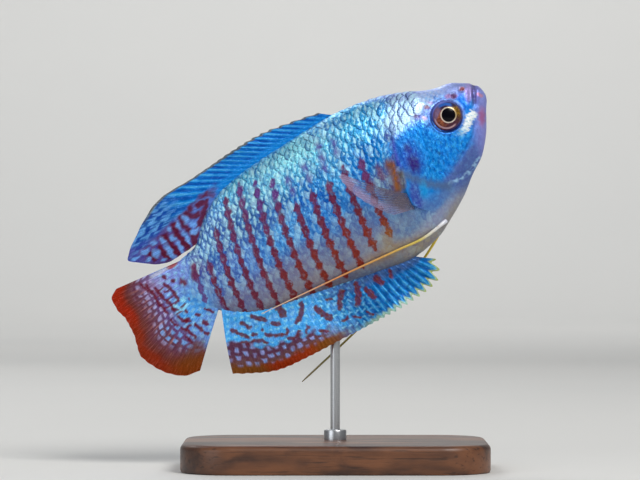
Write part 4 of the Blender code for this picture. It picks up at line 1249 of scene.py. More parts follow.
# %% Fin plates
def fin_grid(fin, root, per_ray, rows, sunk):
    """Middle surface of a fin: root(u) + s (cos a, sin a) + a little curl, s from inside the body to the
    ray's length, which drops between two rays by the notch. Also the ray number, s and the length."""
    u = np.linspace(0, 1, (fin["rays"] - 1) * per_ray + 1)
    ray = u * (fin["rays"] - 1)
    angle = np.radians(along(fin["angle"], u))
    reach = along(fin["length"], u) * (1 - along(fin["notch"], u) * np.sin(math.pi * ray) ** 2)
    s = -sunk + (reach[:, None] + sunk) * np.linspace(0, 1, rows)[None]
    out = np.stack([np.cos(angle), np.zeros_like(u), np.sin(angle)], -1)[:, None]
    curl = np.stack([np.sin(angle), np.zeros_like(u), -np.cos(angle)], -1)[:, None] * fin["curl"]
    middle = root(u)[:, None] + s[..., None] * out - (np.maximum(s, 0) ** 2)[..., None] * curl / 4
    share = np.clip(s / reach[:, None], 0, 1)
    middle[:, :, 1] += fin["wave"] * np.sin(2 * math.pi * fin["waves"] * u)[:, None] * share**1.5
    return middle, np.broadcast_to(ray[:, None], s.shape), s, np.broadcast_to(reach[:, None], s.shape)


def ray_ridge(ray, share, fork):
    """1 on a ray, falling away to both sides; past the fork the ridge parts in two."""
    part = np.abs(ray - np.rint(ray))
    away = 0.24 * rise(share, fork, fork + 0.3)
    return np.exp(-(((part - away) / 0.12) ** 2))


def fin_plate(name, middle, half):
    """A closed plate: the middle surface moved both ways along its normal by half, joined round the rim."""
    columns, rows, _ = middle.shape
    lift = unit(np.cross(np.gradient(middle, axis=0), np.gradient(middle, axis=1))) * half[..., None]
    points = np.vstack([(middle + lift).reshape(-1, 3), (middle - lift).reshape(-1, 3)])
    count = columns * rows
    front = grid_faces(columns, rows)
    index = np.arange(count).reshape(columns, rows)
    rim = np.concatenate([index[:-1, 0], index[-1, :-1], index[:0:-1, -1], index[0, :0:-1]])
    after = np.roll(rim, -1)
    wall = np.stack([after, rim, rim + count, after + count], -1)
    made = build(name, on_stand(points), [front, front[:, ::-1] + count, wall])
    return made, points


def dress_fin(made, points, colour, lie, slot, finish):
    """The same colours and ray numbers on both faces of the plate, then its place on the model."""
    both = {"ground": np.tile(colour.reshape(-1, 4), (2, 1)), "lie": np.tile(lie.reshape(-1, 3), (2, 1))}
    carry(made, place=points, **both)
    settle(made, slot, finish, made.name.replace("_film", ""))


def make_fin(name, fin, root, paint_fin, slot, finish, per_ray, rows, sunk, fork, base=0.42):
    """Grid, plate and colours of one fin. base is its half thickness at the root."""
    middle, ray, s, reach = fin_grid(fin, root, per_ray, rows, sunk)
    share = np.clip(s / reach, 0, 1)
    ridge = ray_ridge(ray, share, fork)
    half = FILM + (base - FILM) * np.exp(-share * 9) + RIB * ridge * (1 - 0.55 * share)
    half = half * (1 - 0.6 * rise(share, 0.94, 1))
    made, points = fin_plate(name, middle, half)
    colour = paint_fin(middle[..., 0], middle[..., 2], ray, share, reach * (1 - share))
    dress_fin(made, points, colour, np.stack([ray, share, ridge], -1), slot, finish)


def edge_root(fin, outline, sign):
    """The root line of a fin that stands on the back or the belly."""
    def root(u):
        back = fin["span"][0] + (fin["span"][1] - fin["span"][0]) * u
        slope = (along_body(outline, back + 0.1) - along_body(outline, back - 0.1)) / 0.2
        lift = sign * BODY_GAP * np.sqrt(1 + slope**2)
        return np.stack([back, np.zeros_like(u), along_body(outline, back) + lift], -1)
    return root


def tail_root(u):
    """The root of the tail fin: a shallow curve through three places at the end of the body."""
    top, mid, low = np.array(CAUDAL["root"], float)
    place = (1 - u)[:, None] ** 2 * top + (2 * u * (1 - u))[:, None] * (2 * mid - (top + low) / 2)
    place = place + u[:, None] ** 2 * low
    return np.stack([place[:, 0], np.zeros_like(u), place[:, 1]], -1)


# %% [markdown]
# ## What the fins carry
#
# The dorsal and anal fins are azure in front with pale lines along the rays. At the rear both turn to a
# maroon net with light blue cells, and the tail fin has rows of blue dashes that fade into an orange-red
# margin. The cells follow the rays, so their masks are waves in the ray's number and in the distance along
# it, and the worm-like marks are strokes.

# %% Fin patterns
FIN_AZURE, FIN_DEEP, FIN_CYAN = tone(0, 122, 212), tone(0, 62, 150), tone(86, 184, 232)
OLIVE = tone(96, 100, 84)


def stirred(back, up, amount, size, seed=0.0):
    """Places moved a little by two wandering values, so that marks drawn there bend like an animal's."""
    return back + amount * unrest(back, up, size, seed), up + amount * unrest(back, up, size, seed + 5)


def cells(ray, distance, length, step, seed, thick):
    """Dashes along the rays: a wave along each ray, with its own start, pitch and length, times a hump
    across it."""
    number = np.rint(ray)
    own = np.sin(number * 12.9 + seed * 3.0)
    pitch = step * (1 + 0.12 * np.sin(number * 7.3 + seed))
    wave = 0.5 + 0.5 * np.cos(2 * math.pi * distance / pitch + own * 2.6)
    wave = wave + 0.22 * np.sin(distance * 1.9 + number * 2.4 + seed) * np.sin(number * 3.7)
    width = thick * (0.42 + 0.1 * np.sin(distance * 2.3 + number * 5.0))
    across = fall(np.abs(ray - number), width - 0.12, width + 0.1)
    return rise(wave, 1 - length - 0.18, 1 - length + 0.22) * across


def see_through(colour, mask, alpha):
    """Lowers the opacity by a mask."""
    colour[..., 3] = colour[..., 3] * (1 - mask) + alpha * mask
    return colour


print("dash at a ray:", float(cells(1.0, 0.0, 0.6, 1.2, 1.0, 0.7)))

# %% The dorsal fin's pattern
DORSAL_BARS = (
    ((56.9, 7.6), (56.6, 9.4), (56.9, 11.2), (56.7, 12.7)),
    ((58.7, 7), (58.6, 9), (58.9, 10.8), (58.3, 12.6)), ((60.6, 7.4), (60.7, 9.4), (60.9, 11.8)),
    ((62.7, 8.4), (62.7, 10.4)), ((64.8, 9.6), (65, 10.8)),
    ((57.2, 7.6), (55.4, 9.4), (53.2, 10.8), (51.2, 12.6)), ((55.6, 13.2), (55, 11.9), (53.6, 11.4)),
    ((50.4, 13.7), (52.2, 14.3), (53.8, 13.9), (54.6, 13)), ((51.8, 12.8), (53, 12.9)),
    ((48.4, 13.9), (49.8, 13.1)),
)
DORSAL_CELLS = (
    ((59.7, 8.5), 0.42, 1.1), ((59.9, 10.6), 0.5, 0.45), ((61.7, 8.9), 0.5, 1.3), ((61.6, 11.3), 0.4, 0.5),
    ((63.9, 10.1), 0.65, 0.6), ((63.2, 11.9), 0.55, 0.35), ((65.4, 11.4), 0.85, 0.3),
    ((67.5, 11.4), 0.8, 0.24), ((65.6, 9.9), 0.6, 0.25), ((59.5, 12.2), 0.4, 0.35),
    ((57.8, 11.9), 0.35, 0.7), ((56.1, 12), 0.45, 0.7), ((55.4, 10.6), 0.45, 0.4), ((63.6, 8.4), 0.5, 0.25),
    ((57.8, 9.2), 0.32, 1.2), ((55.9, 9.4), 0.8, 0.35),
)


def paint_dorsal(back, up, ray, share, edge):
    """Azure with pale streaks on the rays; maroon bars and blue blocks at the rear; a thin clear rim."""
    b, u = stirred(back, up, 0.22, 0.7)
    streak = np.abs(ray - np.rint(ray)) + 0.08 * unrest(back, up, 1.1)
    rear = rise(b, 54, 60) * rise(u + 0.14 * (b - 51), 13.4, 14.4)
    bright = cells(ray * 4, share * 12, 0.75, 2.4, 1.0, 0.85) * rear
    maroon = rise(b, 47.5, 51) * fall(u + 0.14 * (b - 51), 13.7, 14.5) * fall(b, 65.5, 68.5)
    light = np.maximum.reduce(
        [patch(b, u, centre, (wide * 1.1, high * 1.15), 4, 0.5) for centre, wide, high in DORSAL_CELLS]
    )
    rim = fall(edge, 0.3, 0.8) * fall(back, 60, 64)
    colour = layered(FIN_AZURE, b, u, [
        (FIN_DEEP, rise(streak, 0.2, 0.42) * (0.5 + 0.5 * rise(unrest(back, up, 2.6), -0.6, 0.4)), 0.8),
        (FIN_CYAN, fall(streak, 0.03, 0.2) * (0.35 + 0.65 * rise(share, 0, 0.7)), 0.62),
        ((24, 140, 224), fall(share * 6, 0.5, 1.6), 0.5),
        ((24, 62, 150), rear, 0.85),
        ((100, 168, 232), bright, 0.8),
        ((92, 116, 194), maroon, 0.85),
        ((92, 50, 104), maroon * rise(b, 56, 59), 0.8),
        ((62, 70, 168), maroon * rise(unrest(b, u, 0.5, 3), 0, 0.7) * rise(b, 57, 60), 0.6),
        ((92, 20, 40), strokes(b, u, DORSAL_BARS, 1.05, 0.3) * maroon, 0.92),
        ((110, 166, 238), light, 0.85),
        ((58, 66, 160), rise(b, 60, 62) * hump(u, 12.7, 0.35), 0.7),
        ((84, 74, 158), rise(b, 65.5, 68) * (1 - light), 0.7),
        (OLIVE, rim, 0.85),
    ])
    return see_through(colour, rim, 0.72)


print(len(DORSAL_BARS), "bars and", len(DORSAL_CELLS), "blocks on the dorsal fin")

# %% The anal fin's pattern
# each row: the width, then back and up of one point after another
WORMS = (
    (0.55, 60.4, -8.6, 59.7, -9.9, 58.7, -11.4), (0.6, 58.2, -8.7, 57.5, -10.1),
    (0.7, 56.1, -8.75, 55.2, -9.75, 54.5, -10.4), (0.5, 57.8, -11.4, 57.2, -11.8),
    (0.5, 56.1, -11.7, 55.9, -11.8), (0.6, 53.7, -11.8, 52.8, -12.5),
    (0.6, 55.7, -12.9, 54.3, -14, 52.7, -14.75, 52.2, -14.3),
    (0.65, 50.3, -14, 49.2, -13.7, 48, -12.7, 47.5, -11.7), (1.15, 51.2, -10.2, 51.25, -11.4),
    (0.9, 45.75, -14, 45.5, -15.3, 44.7, -16.8), (0.85, 42.3, -16.2, 41.7, -15.2, 40.5, -14),
    (0.85, 39.4, -17.4, 38.4, -16.2, 37.6, -14.4), (0.4, 43.4, -13.7, 42.6, -14.1),
    (0.45, 47.5, -17.6, 46.6, -18.3), (0.5, 43.2, -18.4, 42.2, -18.4), (0.9, 34.1, -15.4, 33.8, -16.7),
    (0.8, 36.6, -16.2, 36.3, -18), (0.6, 31.4, -15.8, 31.7, -16.8), (0.5, 60.2, -11.4, 59.3, -12.4),
    (0.5, 58.6, -12.4, 57, -13.2, 56.6, -14), (0.5, 53, -15.6, 51.6, -16.2, 50.6, -15.6),
    (0.5, 49.6, -16.4, 48.8, -15.8), (0.4, 41.2, -18.8, 40.4, -19.6), (0.4, 38.6, -19.6, 38.2, -20.6),
)


def worm_marks(back, up):
    """Marks of different widths: 1 on each bent stroke, with a trembling edge."""
    tremble = 0.07 * unrest(back, up, 0.35, 4)
    return np.maximum.reduce(
        [strokes(back, up, [pairs(line)], 1.22 * width + 2 * tremble, 0.14) for width, *line in WORMS])


def paint_anal(back, up, ray, share, edge):
    """Azure to sky-blue with worm marks; the rear outer half brown with pale dashes; an orange margin at
    the rear and pale green tips in front."""
    b, u = stirred(back, up, 0.16, 0.6)
    streak = np.abs(ray - np.rint(ray)) + 0.1 * unrest(back, up, 0.9)
    front = fall(back, 40, 48)
    blots = rise(unrest(b, u, 0.75, 2), 0.2, 0.6) * between(back, 26, 30, 40, 46)
    glow = rise(unrest(b, u, 0.5, 6), 0.1, 0.7)
    haze = rise(unrest(b, u, 1.4, 1), -0.1, 0.6) * rise(b, 36, 44)
    dim = rise(unrest(b, u, 0.8, 9), 0.25, 0.7)
    inner = 0.5 - 0.1 * rise(back, 56, 61) + 0.14 * rise(-back, -52, -46)
    field = rise(share + 0.07 * unrest(back, up, 1.1, 4), inner, inner + 0.1) * rise(b, 43, 48)
    brown = lay(tone(92, 34, 48), tone(112, 62, 28), rise(-edge, -3.6, -1.4), 0.9)
    dash = (
        cells(ray + 0.12 * unrest(back, up, 0.7), share * 10.5, 0.56, 1.6, 3.0, 0.64) * rise(edge, 0.8, 1.8)
    )
    pale = lay(tone(146, 156, 218), tone(104, 160, 226), glow, 0.8)
    worm = worm_marks(b, u) * rise(edge, 0.7, 1.3)
    margin = fall(edge + 0.25 * unrest(back, up, 1.1), 0.9, 2.1) * rise(back, 40, 46)
    tips = fall(edge, 0.25, 1) * fall(back, 38, 43)
    colour = layered(tone(0, 112, 186), b, u, [
        ((76, 176, 252), rise(b, 38, 46), 0.92),
        ((0, 66, 130), rise(streak, 0.22, 0.44) * front, 0.7),
        ((84, 178, 220), fall(streak, 0.04, 0.22) * rise(share, 0.1, 0.5) * front, 0.6),
        ((74, 98, 146), fall(share, 0.06, 0.26) * fall(back, 38, 46), 0.75),
        ((0, 60, 130), blots, 0.6),
        ((140, 220, 255), glow * rise(b, 34, 44), 0.9),
        ((112, 150, 226), haze, 0.3),
        ((40, 104, 200), dim, 0.28),
        (brown, field, 0.94),
        (pale, dash * field * (0.55 + 0.45 * rise(unrest(back, up, 0.9, 1), -0.5, 0.1)), 0.9),
        ((100, 40, 54), worm, 0.88),
        ((112, 52, 30), worm * rise(unrest(back, up, 0.4), 0.1, 0.6), 0.7),
        ((116, 66, 8), margin, 0.92),
        ((150, 46, 0), margin * between(back, 48, 52, 57.5, 60.5), 0.9),
        ((160, 196, 170), tips, 0.85),
        ((172, 180, 72), fall(edge, 0.2, 0.7) * fall(back, 27, 33), 0.8),
    ])
    return see_through(colour, fall(edge, 0, 0.4), 0.94)


print(len(WORMS), "worm marks on the anal fin")

# %% The tail fin's pattern
# each row: the width, then back and up of one point after another
CAUDAL_MARKS = (
    (1.3, 62.9, 3.3, 62.5, 2.9), (0.7, 65.2, 5.8, 65.1, 5.7), (0.65, 64.3, 4.4, 64.1, 4.3),
    (0.65, 65.8, 4.6, 65.3, 3, 65.35, 0.9), (0.65, 67.7, 5, 67.5, 2.9, 66.95, 1.3, 67.1, 0),
    (0.6, 68.8, 6.6, 68.6, 4.6, 68.7, 2.6, 68.4, 0.4), (1, 60, 4, 60.2, 2.9),
    (0.5, 63.4, 0.2, 63.2, -0.2), (0.6, 65.4, -1.3, 65.3, -1.7),
    (0.65, 66.2, -2.9, 66.8, -2.3, 67.1, -1.4), (0.85, 66.3, -2.8, 65.8, -3),
    (0.65, 64.2, -2.9, 63.8, -3.2), (0.65, 65.3, -4.3, 65.1, -5, 64.9, -5.8),
    (0.85, 63.8, -4.8, 63.5, -5.2), (0.7, 64.7, -6.5, 64.4, -6.8), (0.55, 62.1, -2.8, 61.4, -4.2),
    (0.45, 61.9, 0.6, 61.4, 1.8), (0.6, 67.6, -3.6, 67, -4.6, 66.6, -6.2),
    (0.5, 68.6, -1.2, 68.2, -2.6), (0.45, 66.4, -0.4, 66.9, 0.2), (0.45, 69.4, 7.2, 69.2, 5.2),
    (0.5, 68, -5, 67.7, -6.4), (0.35, 66.6, 3.6, 65.9, 3.4), (0.3, 67.4, 4.3, 66.4, 4.4),
    (0.32, 67, 2.2, 65.8, 2.1), (0.3, 68.4, 1.2, 67.2, 1), (0.3, 66.9, 1, 65.6, 0.9),
    (0.3, 68.2, 3.6, 67.5, 3.5), (0.35, 64.8, -0.2, 65.6, -0.4), (0.35, 66, -1, 67, -0.9),
    (0.4, 66, -3.9, 67.2, -4),
)


def paint_caudal(back, up, ray, share, edge):
    """Sky-blue at the base with dark arcs across the rays, then maroon with rows of pale dashes, then a
    red-brown zone and the orange-red margin, brightest in the upper corner."""
    b, u = stirred(back, up, 0.14, 0.55)
    colour = tail_base(tone(84, 160, 248), back, up, np.ones(back.shape))
    far = np.hypot(b - 55.0, (u - 0.6) * 0.55)
    field = rise(far + 0.35 * unrest(back, up, 0.9, 2), 11.6, 13.4)
    violet = lay(tone(102, 62, 112), tone(104, 44, 42), rise(far, 13.6, 15.8), 0.9)
    lower = rise(-u, 0.2, 2.4)
    dash = cells(ray + 0.14 * unrest(back, up, 0.8), share * 13.5, 0.6, 1.22, 1.4, 0.68)
    pale = lay(tone(176, 176, 226), tone(100, 170, 240), np.maximum(lower, 1 - field), 0.8)
    colour = lay(colour, violet, field, 0.93)
    pale = lay(pale, tone(168, 116, 128), rise(share, 0.6, 0.72), 0.7)
    fade = fall(share + 0.05 * unrest(back, up, 1.4) + 0.02 * np.maximum(-u - 4, 0), 0.64, 0.8)
    fade = fade * (1 - 0.3 * rise(b, 69.2, 70.4) * rise(u, -1.2, 0.6))
    hair = rise(unrest(share * 9, ray * 3.2, 1, 2), 0.35, 0.8) * field * between(b, 69, 70.5, 72, 73.4)
    glow = patch(b, u, (65.4, -0.6), (1.5, 0.42), 0, 0.5) + patch(b, u, (64.2, 0.6), (0.9, 0.5), 0, 0.5)
    colour = layered(colour, b, u, [
        (pale, dash * field * fade, 0.9),
        ((176, 150, 190), ((67.6, 5.6), (2.4, 1.7), 0, 0.6), 0.35),
        ((168, 112, 108), hair, 0.55),
    ])
    glow = (
        glow + patch(b, u, (66.6, 0.5), (0.6, 0.4), 0, 0.5) + patch(b, u, (62.4, 1.2), (0.6, 0.9), 0, 0.6)
    )
    colour = lay(colour, tone(150, 226, 255), np.clip(glow, 0, 1), 0.8)
    for width, *line in CAUDAL_MARKS:
        colour = lay(colour, tone(104, 20, 40), strokes(b, u, [pairs(line)], width, 0.16), 0.92)
    outer = fall(edge + 0.3 * unrest(back, up, 2), 2.4, 5.2)
    brown = lay(tone(108, 46, 24), tone(144, 84, 80), ray_ridge(ray * 2, share, 0.3), 0.4)
    margin = fall(edge + 0.35 * unrest(back, up, 1.8, 3), 1.2, 3)
    colour = layered(colour, b, u, [
        ((170, 60, 6), patch(back, up, (62.8, 6.7), (1.2, 0.45), 4), 0.85),
        ((196, 200, 226), patch(back, up, (65.5, 6.95), (1.8, 0.36), 6), 0.8),
        (brown, outer, 0.85),
        ((112, 66, 44), ((68.8, -8.8), (3.4, 1.7), -28, 0.5), 0.8),
        ((142, 44, 4), margin, 0.9),
        ((168, 40, 0), margin * patch(back, up, (73.8, 6.4), (3, 4.2), 0, 0.6), 0.9),
        ((126, 62, 10), outer * patch(back, up, (69, -9.4), (4.6, 3), 0, 0.6), 0.85),
    ])
    return see_through(colour, outer * (1 - 0.5 * margin), 0.95)


print(len(CAUDAL_MARKS), "marks on the tail fin")

# %% The breast fins' pattern
def paint_pectoral(back, up, ray, share, edge):
    """Almost clear, with fine grey-brown rays near the root and a rosy grey outer rim."""
    thread = 0.5 + 0.5 * np.cos(2 * math.pi * (1.5 * ray + 0.25 * unrest(back, up, 1.3)))
    near = fall(share, 0.22, 0.62)
    outer = fall(edge, 1.6, 4.2) * (1 - 0.7 * rise(ray, 4, 8))
    colour = layered(tone(150, 150, 186), back, up, [
        ((128, 112, 108), near, 0.85),
        ((72, 58, 74), rise(thread, 0.45, 0.85), 0.75),
        ((162, 142, 176), outer, 0.9),
    ])
    colour[..., 3] = 0.08 + 0.24 * near + 0.36 * rise(thread, 0.4, 0.85) * (1 - outer) + 0.46 * outer
    colour[..., 3] *= rise(edge, -0.05, 0.3) * (0.75 + 0.25 * rise(unrest(back, up, 1.2), -0.6, 0.3))
    return colour


# %% Fin finish
def fin_finish(name, clear=False, rough=0.36):
    """Colour from the points, streaked and grained along the rays, under a thin wet coat."""
    paint = Paint(name, Coat_Roughness=0.16, Specular_IOR_Level=0.06)
    ray, share, ridge = paint.split(paint.attribute("lie", "Vector"))
    where = paint.node("ShaderNodeCombineXYZ", {}, {0: ray, 1: share * 2.2, 2: 0})
    streak = paint.noise(paint.stretch(where, (5, 1.6, 1)), 2.2, 3)
    fleck = paint.noise(paint.place(), 4.6, 2)
    base = paint.attribute("ground")
    light = paint.node(
        "ShaderNodeHueSaturation", {}, {"Saturation": 0.92, "Value": 1.55, "Color": base}, "Color"
    )
    colour = paint.mix(base, light, (streak.rise(0.5, 0.72) * 0.6 + fleck.rise(0.56, 0.72) * 0.6).clamp())
    dark = paint.node(
        "ShaderNodeHueSaturation", {}, {"Saturation": 1.1, "Value": 0.5, "Color": base}, "Color"
    )
    colour = paint.mix(colour, dark, streak.rise(0.5, 0.28) * 0.5 + fleck.rise(0.46, 0.3) * 0.3)
    return paint.finish(
        Base_Color=colour, Roughness=rough + fleck * 0.1, Metallic=(0 if clear else 0.22) + streak * 0.1,
        Coat_Weight=0.03 + ridge * 0.06, Alpha=paint.attribute("ground", "Alpha"),
        Normal=paint.bump(ridge * 0.5 + streak * 0.5, 0.00005, 0.5))


film_finish = fin_finish("fin_film")
tail_finish = fin_finish("tail_film")
clear_finish = fin_finish("clear_film", True, 0.3)

# %% Dorsal, anal and tail fins
make_fin("dorsal_fin_film", DORSAL, edge_root(DORSAL, BACKLINE, 1), paint_dorsal, "blue_fin", film_finish,
         12, 84, 1.3, 0.55)
make_fin("anal_fin_film", ANAL, edge_root(ANAL, BELLYLINE, -1), paint_anal, "blue_fin", film_finish,
         11, 72, 1.3, 0.6)
make_fin("caudal_fin_film", CAUDAL, tail_root, paint_caudal, "red_fin", tail_finish, 18, 96, 2.2, 0.3,
         base=0.3)

# %% [markdown]
# ## Breast fins
#
# The paired fins behind the gills are almost clear. They stand a little off the flanks and point up and
# back. They could be painted on the skin, but a clear film of its own casts the right faint shadow and
# shows from above.

# %% Breast fins
def breast_root(side):
    """The root line of a breast fin, a little off the flank."""
    def root(u):
        top, low = np.array(PECTORAL["root"], float)
        place = top + u[:, None] * (low - top)
        out = flank(place[:, 0], place[:, 1]) + 0.55
        return np.stack([place[:, 0], side * out, place[:, 1]], -1)
    return root


def breast_fin(word, side):
    """One breast fin: the grid leans outwards, and the right one is turned over."""
    middle, ray, s, reach = fin_grid(PECTORAL, breast_root(side), 12, 60, 0.9)
    share = np.clip(s / reach, 0, 1)
    middle[:, :, 1] += side * (np.maximum(s, 0) * PECTORAL["outward"] + np.minimum(s, 0) * 0.9)
    ridge = ray_ridge(ray, share, 0.45)
    half = 0.04 + 0.2 * np.exp(-share * 9) + 0.05 * ridge * (1 - 0.6 * share)
    made, points = fin_plate(f"pectoral_fin_{word}_film", middle if side > 0 else middle[::-1], half)
    order = slice(None) if side > 0 else slice(None, None, -1)
    colour = paint_pectoral(middle[..., 0], middle[..., 2], ray, share, reach * (1 - share))[order]
    dress_fin(made, points, colour, np.stack([ray, share, ridge], -1)[order], "clear_fin", clear_finish)


breast_fin("right", -1)
breast_fin("left", 1)

# %% [markdown]
# ## Eyes
#
# The eye is a flattened ball in a ring-shaped fold of skin: a black pupil, a thin ring of pale gold, an
# orange-brown iris, olive in front, with a painted blue glint above and a painted pale glint arc below, and
# a dark rim. The colours depend on the distance from the pupil and on the direction, so both are worked out
# in the material, under a clear coat with almost no roughness that gives the window-like glint of a wet
# cornea.

# %% Eye finish
PUPIL, IRIS = (7.55, 1.12), (7.97, 1.12)  # middles, in mm back and up


def eye_finish():
    """Colours of the eye from the distance to the pupil and to the iris and from the direction."""
    paint = Paint("fish_eye", Roughness=0.3, Specular_IOR_Level=0.05, Coat_Weight=0.4,
                  Coat_Roughness=0.02, Coat_IOR=1.33)
    back, side, up = paint.split(paint.place())
    b, u = back - PUPIL[0], up - PUPIL[1]
    far = (b * b + u * u) ** 0.5
    rim_far = ((back - IRIS[0]) ** 2 + (up - IRIS[1]) ** 2) ** 0.5
    fibre = paint.noise(paint.place(), 3.2, 3)
    toward_back, toward_top = b / far, u / far
    iris = paint.mix(plain(104, 56, 46), plain(160, 92, 62), fibre.rise(0.38, 0.66))
    front = (0 - toward_back).rise(0.1, 0.75)
    iris = paint.mix(
        iris, paint.mix(plain(96, 74, 34), plain(146, 112, 40), fibre.rise(0.4, 0.6)), front * 0.9
    )
    below = (0 - toward_top).rise(0.35, 0.95)
    iris = paint.mix(iris, plain(64, 36, 58), below * 0.85)
    above = (u - b * 0.3).rise(0.85, 1.35) * (1 - b.rise(0.3, 1.2))
    iris = paint.mix(iris, plain(42, 42, 70), above * 0.9)
    # lens: a painted blue glint across the top of the iris
    lens = (
        rim_far.rise(1.8, 2) * (1 - rim_far.rise(2.3, 2.5))
        * (toward_top - toward_back * 0.25).rise(0.72, 0.95)
    )
    iris = paint.layers(iris, [
        ((48, 104, 196), lens * (0.5 + fibre * 0.6)),
        ((106, 92, 134), (u + b * 0.6).rise(1.6, 2.1) * b.rise(0.2, 0.9) * 0.7),
    ])
    # arc: a painted pale glint arc over the lower rear of the iris
    arc = rim_far.rise(1.86, 2.04) * (1 - rim_far.rise(2.1, 2.3))
    arc = arc * (b * 0.85 - u * 0.75).rise(1.1, 1.8)
    iris = paint.mix(iris, plain(214, 176, 184), arc * 0.75)
    edge = paint.mix(
        plain(66, 64, 114), plain(104, 118, 196), (toward_top * 0.8 + toward_back * 0.2).rise(-0.2, 0.7)
    )
    edge = paint.mix(edge, plain(112, 92, 100), front * (1 - toward_top.rise(0.1, 0.6)) * 0.7)
    iris = paint.mix(iris, edge, (rim_far - front * 0.2).rise(2.28, 2.48) * (0.75 + fibre * 0.4))
    under = (toward_back - toward_top).rise(-0.3, 0.9)
    iris = paint.mix(iris, plain(38, 46, 108), rim_far.rise(2.52, 2.7) * (0.3 + under * 0.6))
    ring = far.rise(1.2, 1.26) * (1 - (far + (fibre - 0.5) * 0.16).rise(1.37, 1.48))
    colour = paint.mix(iris, paint.mix(plain(214, 202, 188), plain(190, 170, 130), front), ring * 0.9)
    colour = paint.mix(plain(8, 4, 16), colour, far.rise(1.18, 1.25))
    return paint.finish(Base_Color=colour, Metallic=ring * 0.3 + far.rise(1.4, 1.5) * 0.15)


def eye_ball(word, side, finish):
    """A ball squashed on the line to the side: out = depth cos t, radius = sin t."""
    tilt = np.linspace(0, math.pi, 66)[1:-1, None]
    turn = around(96)[None] * side
    out = float(flank(EYE_BACK, EYE_UP)) + EYE_STANDS_OUT - EYE_DEPTH
    radius = EYE_RADIUS * np.sin(tilt)
    rings = stacked(
        EYE_BACK + radius * np.cos(turn), side * (out + EYE_DEPTH * np.cos(tilt)),
        EYE_UP + radius * np.sin(turn)
    )
    poles = [(EYE_BACK, side * (out + EYE_DEPTH), EYE_UP), (EYE_BACK, side * (out - EYE_DEPTH), EYE_UP)]
    points, faces = closed_tube(rings, *poles)
    made = build(f"eye_{word}_ball", on_stand(points), faces)
    carry(made, place=points)
    return settle(made, "eye_surface", finish, f"eye_{word}")


wet_eye = eye_finish()
eye_ball("right", -1, wet_eye)
eye_ball("left", 1, wet_eye)

# %% [markdown]
# ## Feelers
#
# A gourami's pelvic fins are two long threads that it feels its way with. Each is a round tube along a path
# down the throat and back under the body, white at the root, then yellow and orange, and pale at the tip.

# %% Feelers
FEELER_RIGHT = ((18.3, -14), (22.8, -14.3), (28, -13.5), (37.4, -11.9), (47, -10.4), (54.2, -9.3))
FEELER_LEFT = ((18.3, -14), (21.6, -15.9), (26.5, -17.9), (35, -19.9), (44, -21.6), (56.1, -23.45))
FEELER_RADIUS = {
    "right": ((0, 0.42), (0.05, 0.3), (0.25, 0.22), (0.5, 0.17), (0.75, 0.13), (1, 0.07)),
    "left": ((0, 0.4), (0.05, 0.27), (0.25, 0.21), (0.7, 0.2), (0.95, 0.17), (1, 0.09)),
}


def feeler_path(line, side, splay, count=120):
    """Smooth path through its stations, kept off the flank, and splayed outwards below the belly."""
    place = np.array(line, float)
    span = running(np.hypot(*np.diff(place, axis=0).T))
    at = np.linspace(0, span[-1], count)
    back = along(np.column_stack([span, place[:, 0]]), at)
    up = along(np.column_stack([span, place[:, 1]]), at)
    clear = np.maximum(flank(back, up) + 0.35, 1.2)
    if splay:
        share = at / span[-1]
        clear = np.maximum(clear, clear[0] + (splay - clear[0]) * np.sin(share * math.pi / 2))
    ends = np.pad(clear, 6, mode="edge")
    clear = np.maximum(np.convolve(ends, np.ones(13) / 13, mode="valid"), flank(back, up) + 0.3)
    clear = clear - 0.75 * np.exp(-at / 1.2)
    return np.stack([back, side * clear, up], -1), at / span[-1]


def tube(path, radius, sides=20):
    """Rings round a path: across and other are square to its heading."""
    heading = unit(np.gradient(path, axis=0))
    across = unit(np.cross(heading, (0.13, 0.31, 0.94)))
    other = np.cross(heading, across)
    turn = around(sides)[None, :, None]
    ring = np.cos(turn) * across[:, None] + np.sin(turn) * other[:, None]
    return path[:, None] + ring * radius[:, None, None]


def feeler(word, line, side, splay, stops):
    """One feeler: a tube along its path, coloured from root to tip."""
    path, share = feeler_path(line, side, splay)
    rings = tube(path, along(FEELER_RADIUS[word], share))
    points, faces = closed_tube(rings, path[0], path[-1] + (path[-1] - path[-2]) * 0.3)
    made = build(f"feeler_{word}_thread", on_stand(points), [f[:, ::-1] for f in faces])
    along_it = np.concatenate([[0], np.repeat(share, rings.shape[1]), [1]])
    carry(made, place=points, along=along_it)
    paint = Paint(f"feeler_{word}_skin", Coat_Weight=0.4, Coat_Roughness=0.2)
    share_wire = paint.attribute("along", "Fac")
    ramp = paint.node(
        "ShaderNodeValToRGB", {"stops": [(at, plain(*shade)) for at, shade in stops]}, {0: share_wire}
    )
    mottle = paint.noise(paint.place(), 2.4, 2.0)
    colour = paint.mix(ramp, plain(150, 84, 20), mottle.rise(0.5, 0.75) * 0.3)
    finish = paint.finish(Base_Color=colour, Roughness=0.35 + mottle * 0.15)
    settle(made, "feeler_skin", finish, f"feeler_{word}")


feeler("right", FEELER_RIGHT, -1, 0, [
    (0.0, (214, 216, 230)), (0.1, (212, 208, 190)), (0.16, (202, 184, 84)),
    (0.32, (206, 160, 84)), (0.6, (214, 140, 84)), (1.0, (220, 196, 172))])
feeler("left", FEELER_LEFT, 1, 6.4, [
    (0.0, (226, 226, 236)), (0.08, (236, 206, 60)), (0.3, (214, 176, 50)),
    (0.6, (186, 158, 70)), (0.8, (158, 148, 76)), (1.0, (150, 138, 96))])

# %% [markdown]
# ## The stand
#
# A fish can't stand, so a plain display stand holds it: a flat block of dark wood, one steel rod up into
# the left flank behind the belly fin, and a small collar where the rod enters the block. The block is a
# rounded rectangle carried up a profile, and rod and collar are turned shapes, which a lathe would make.

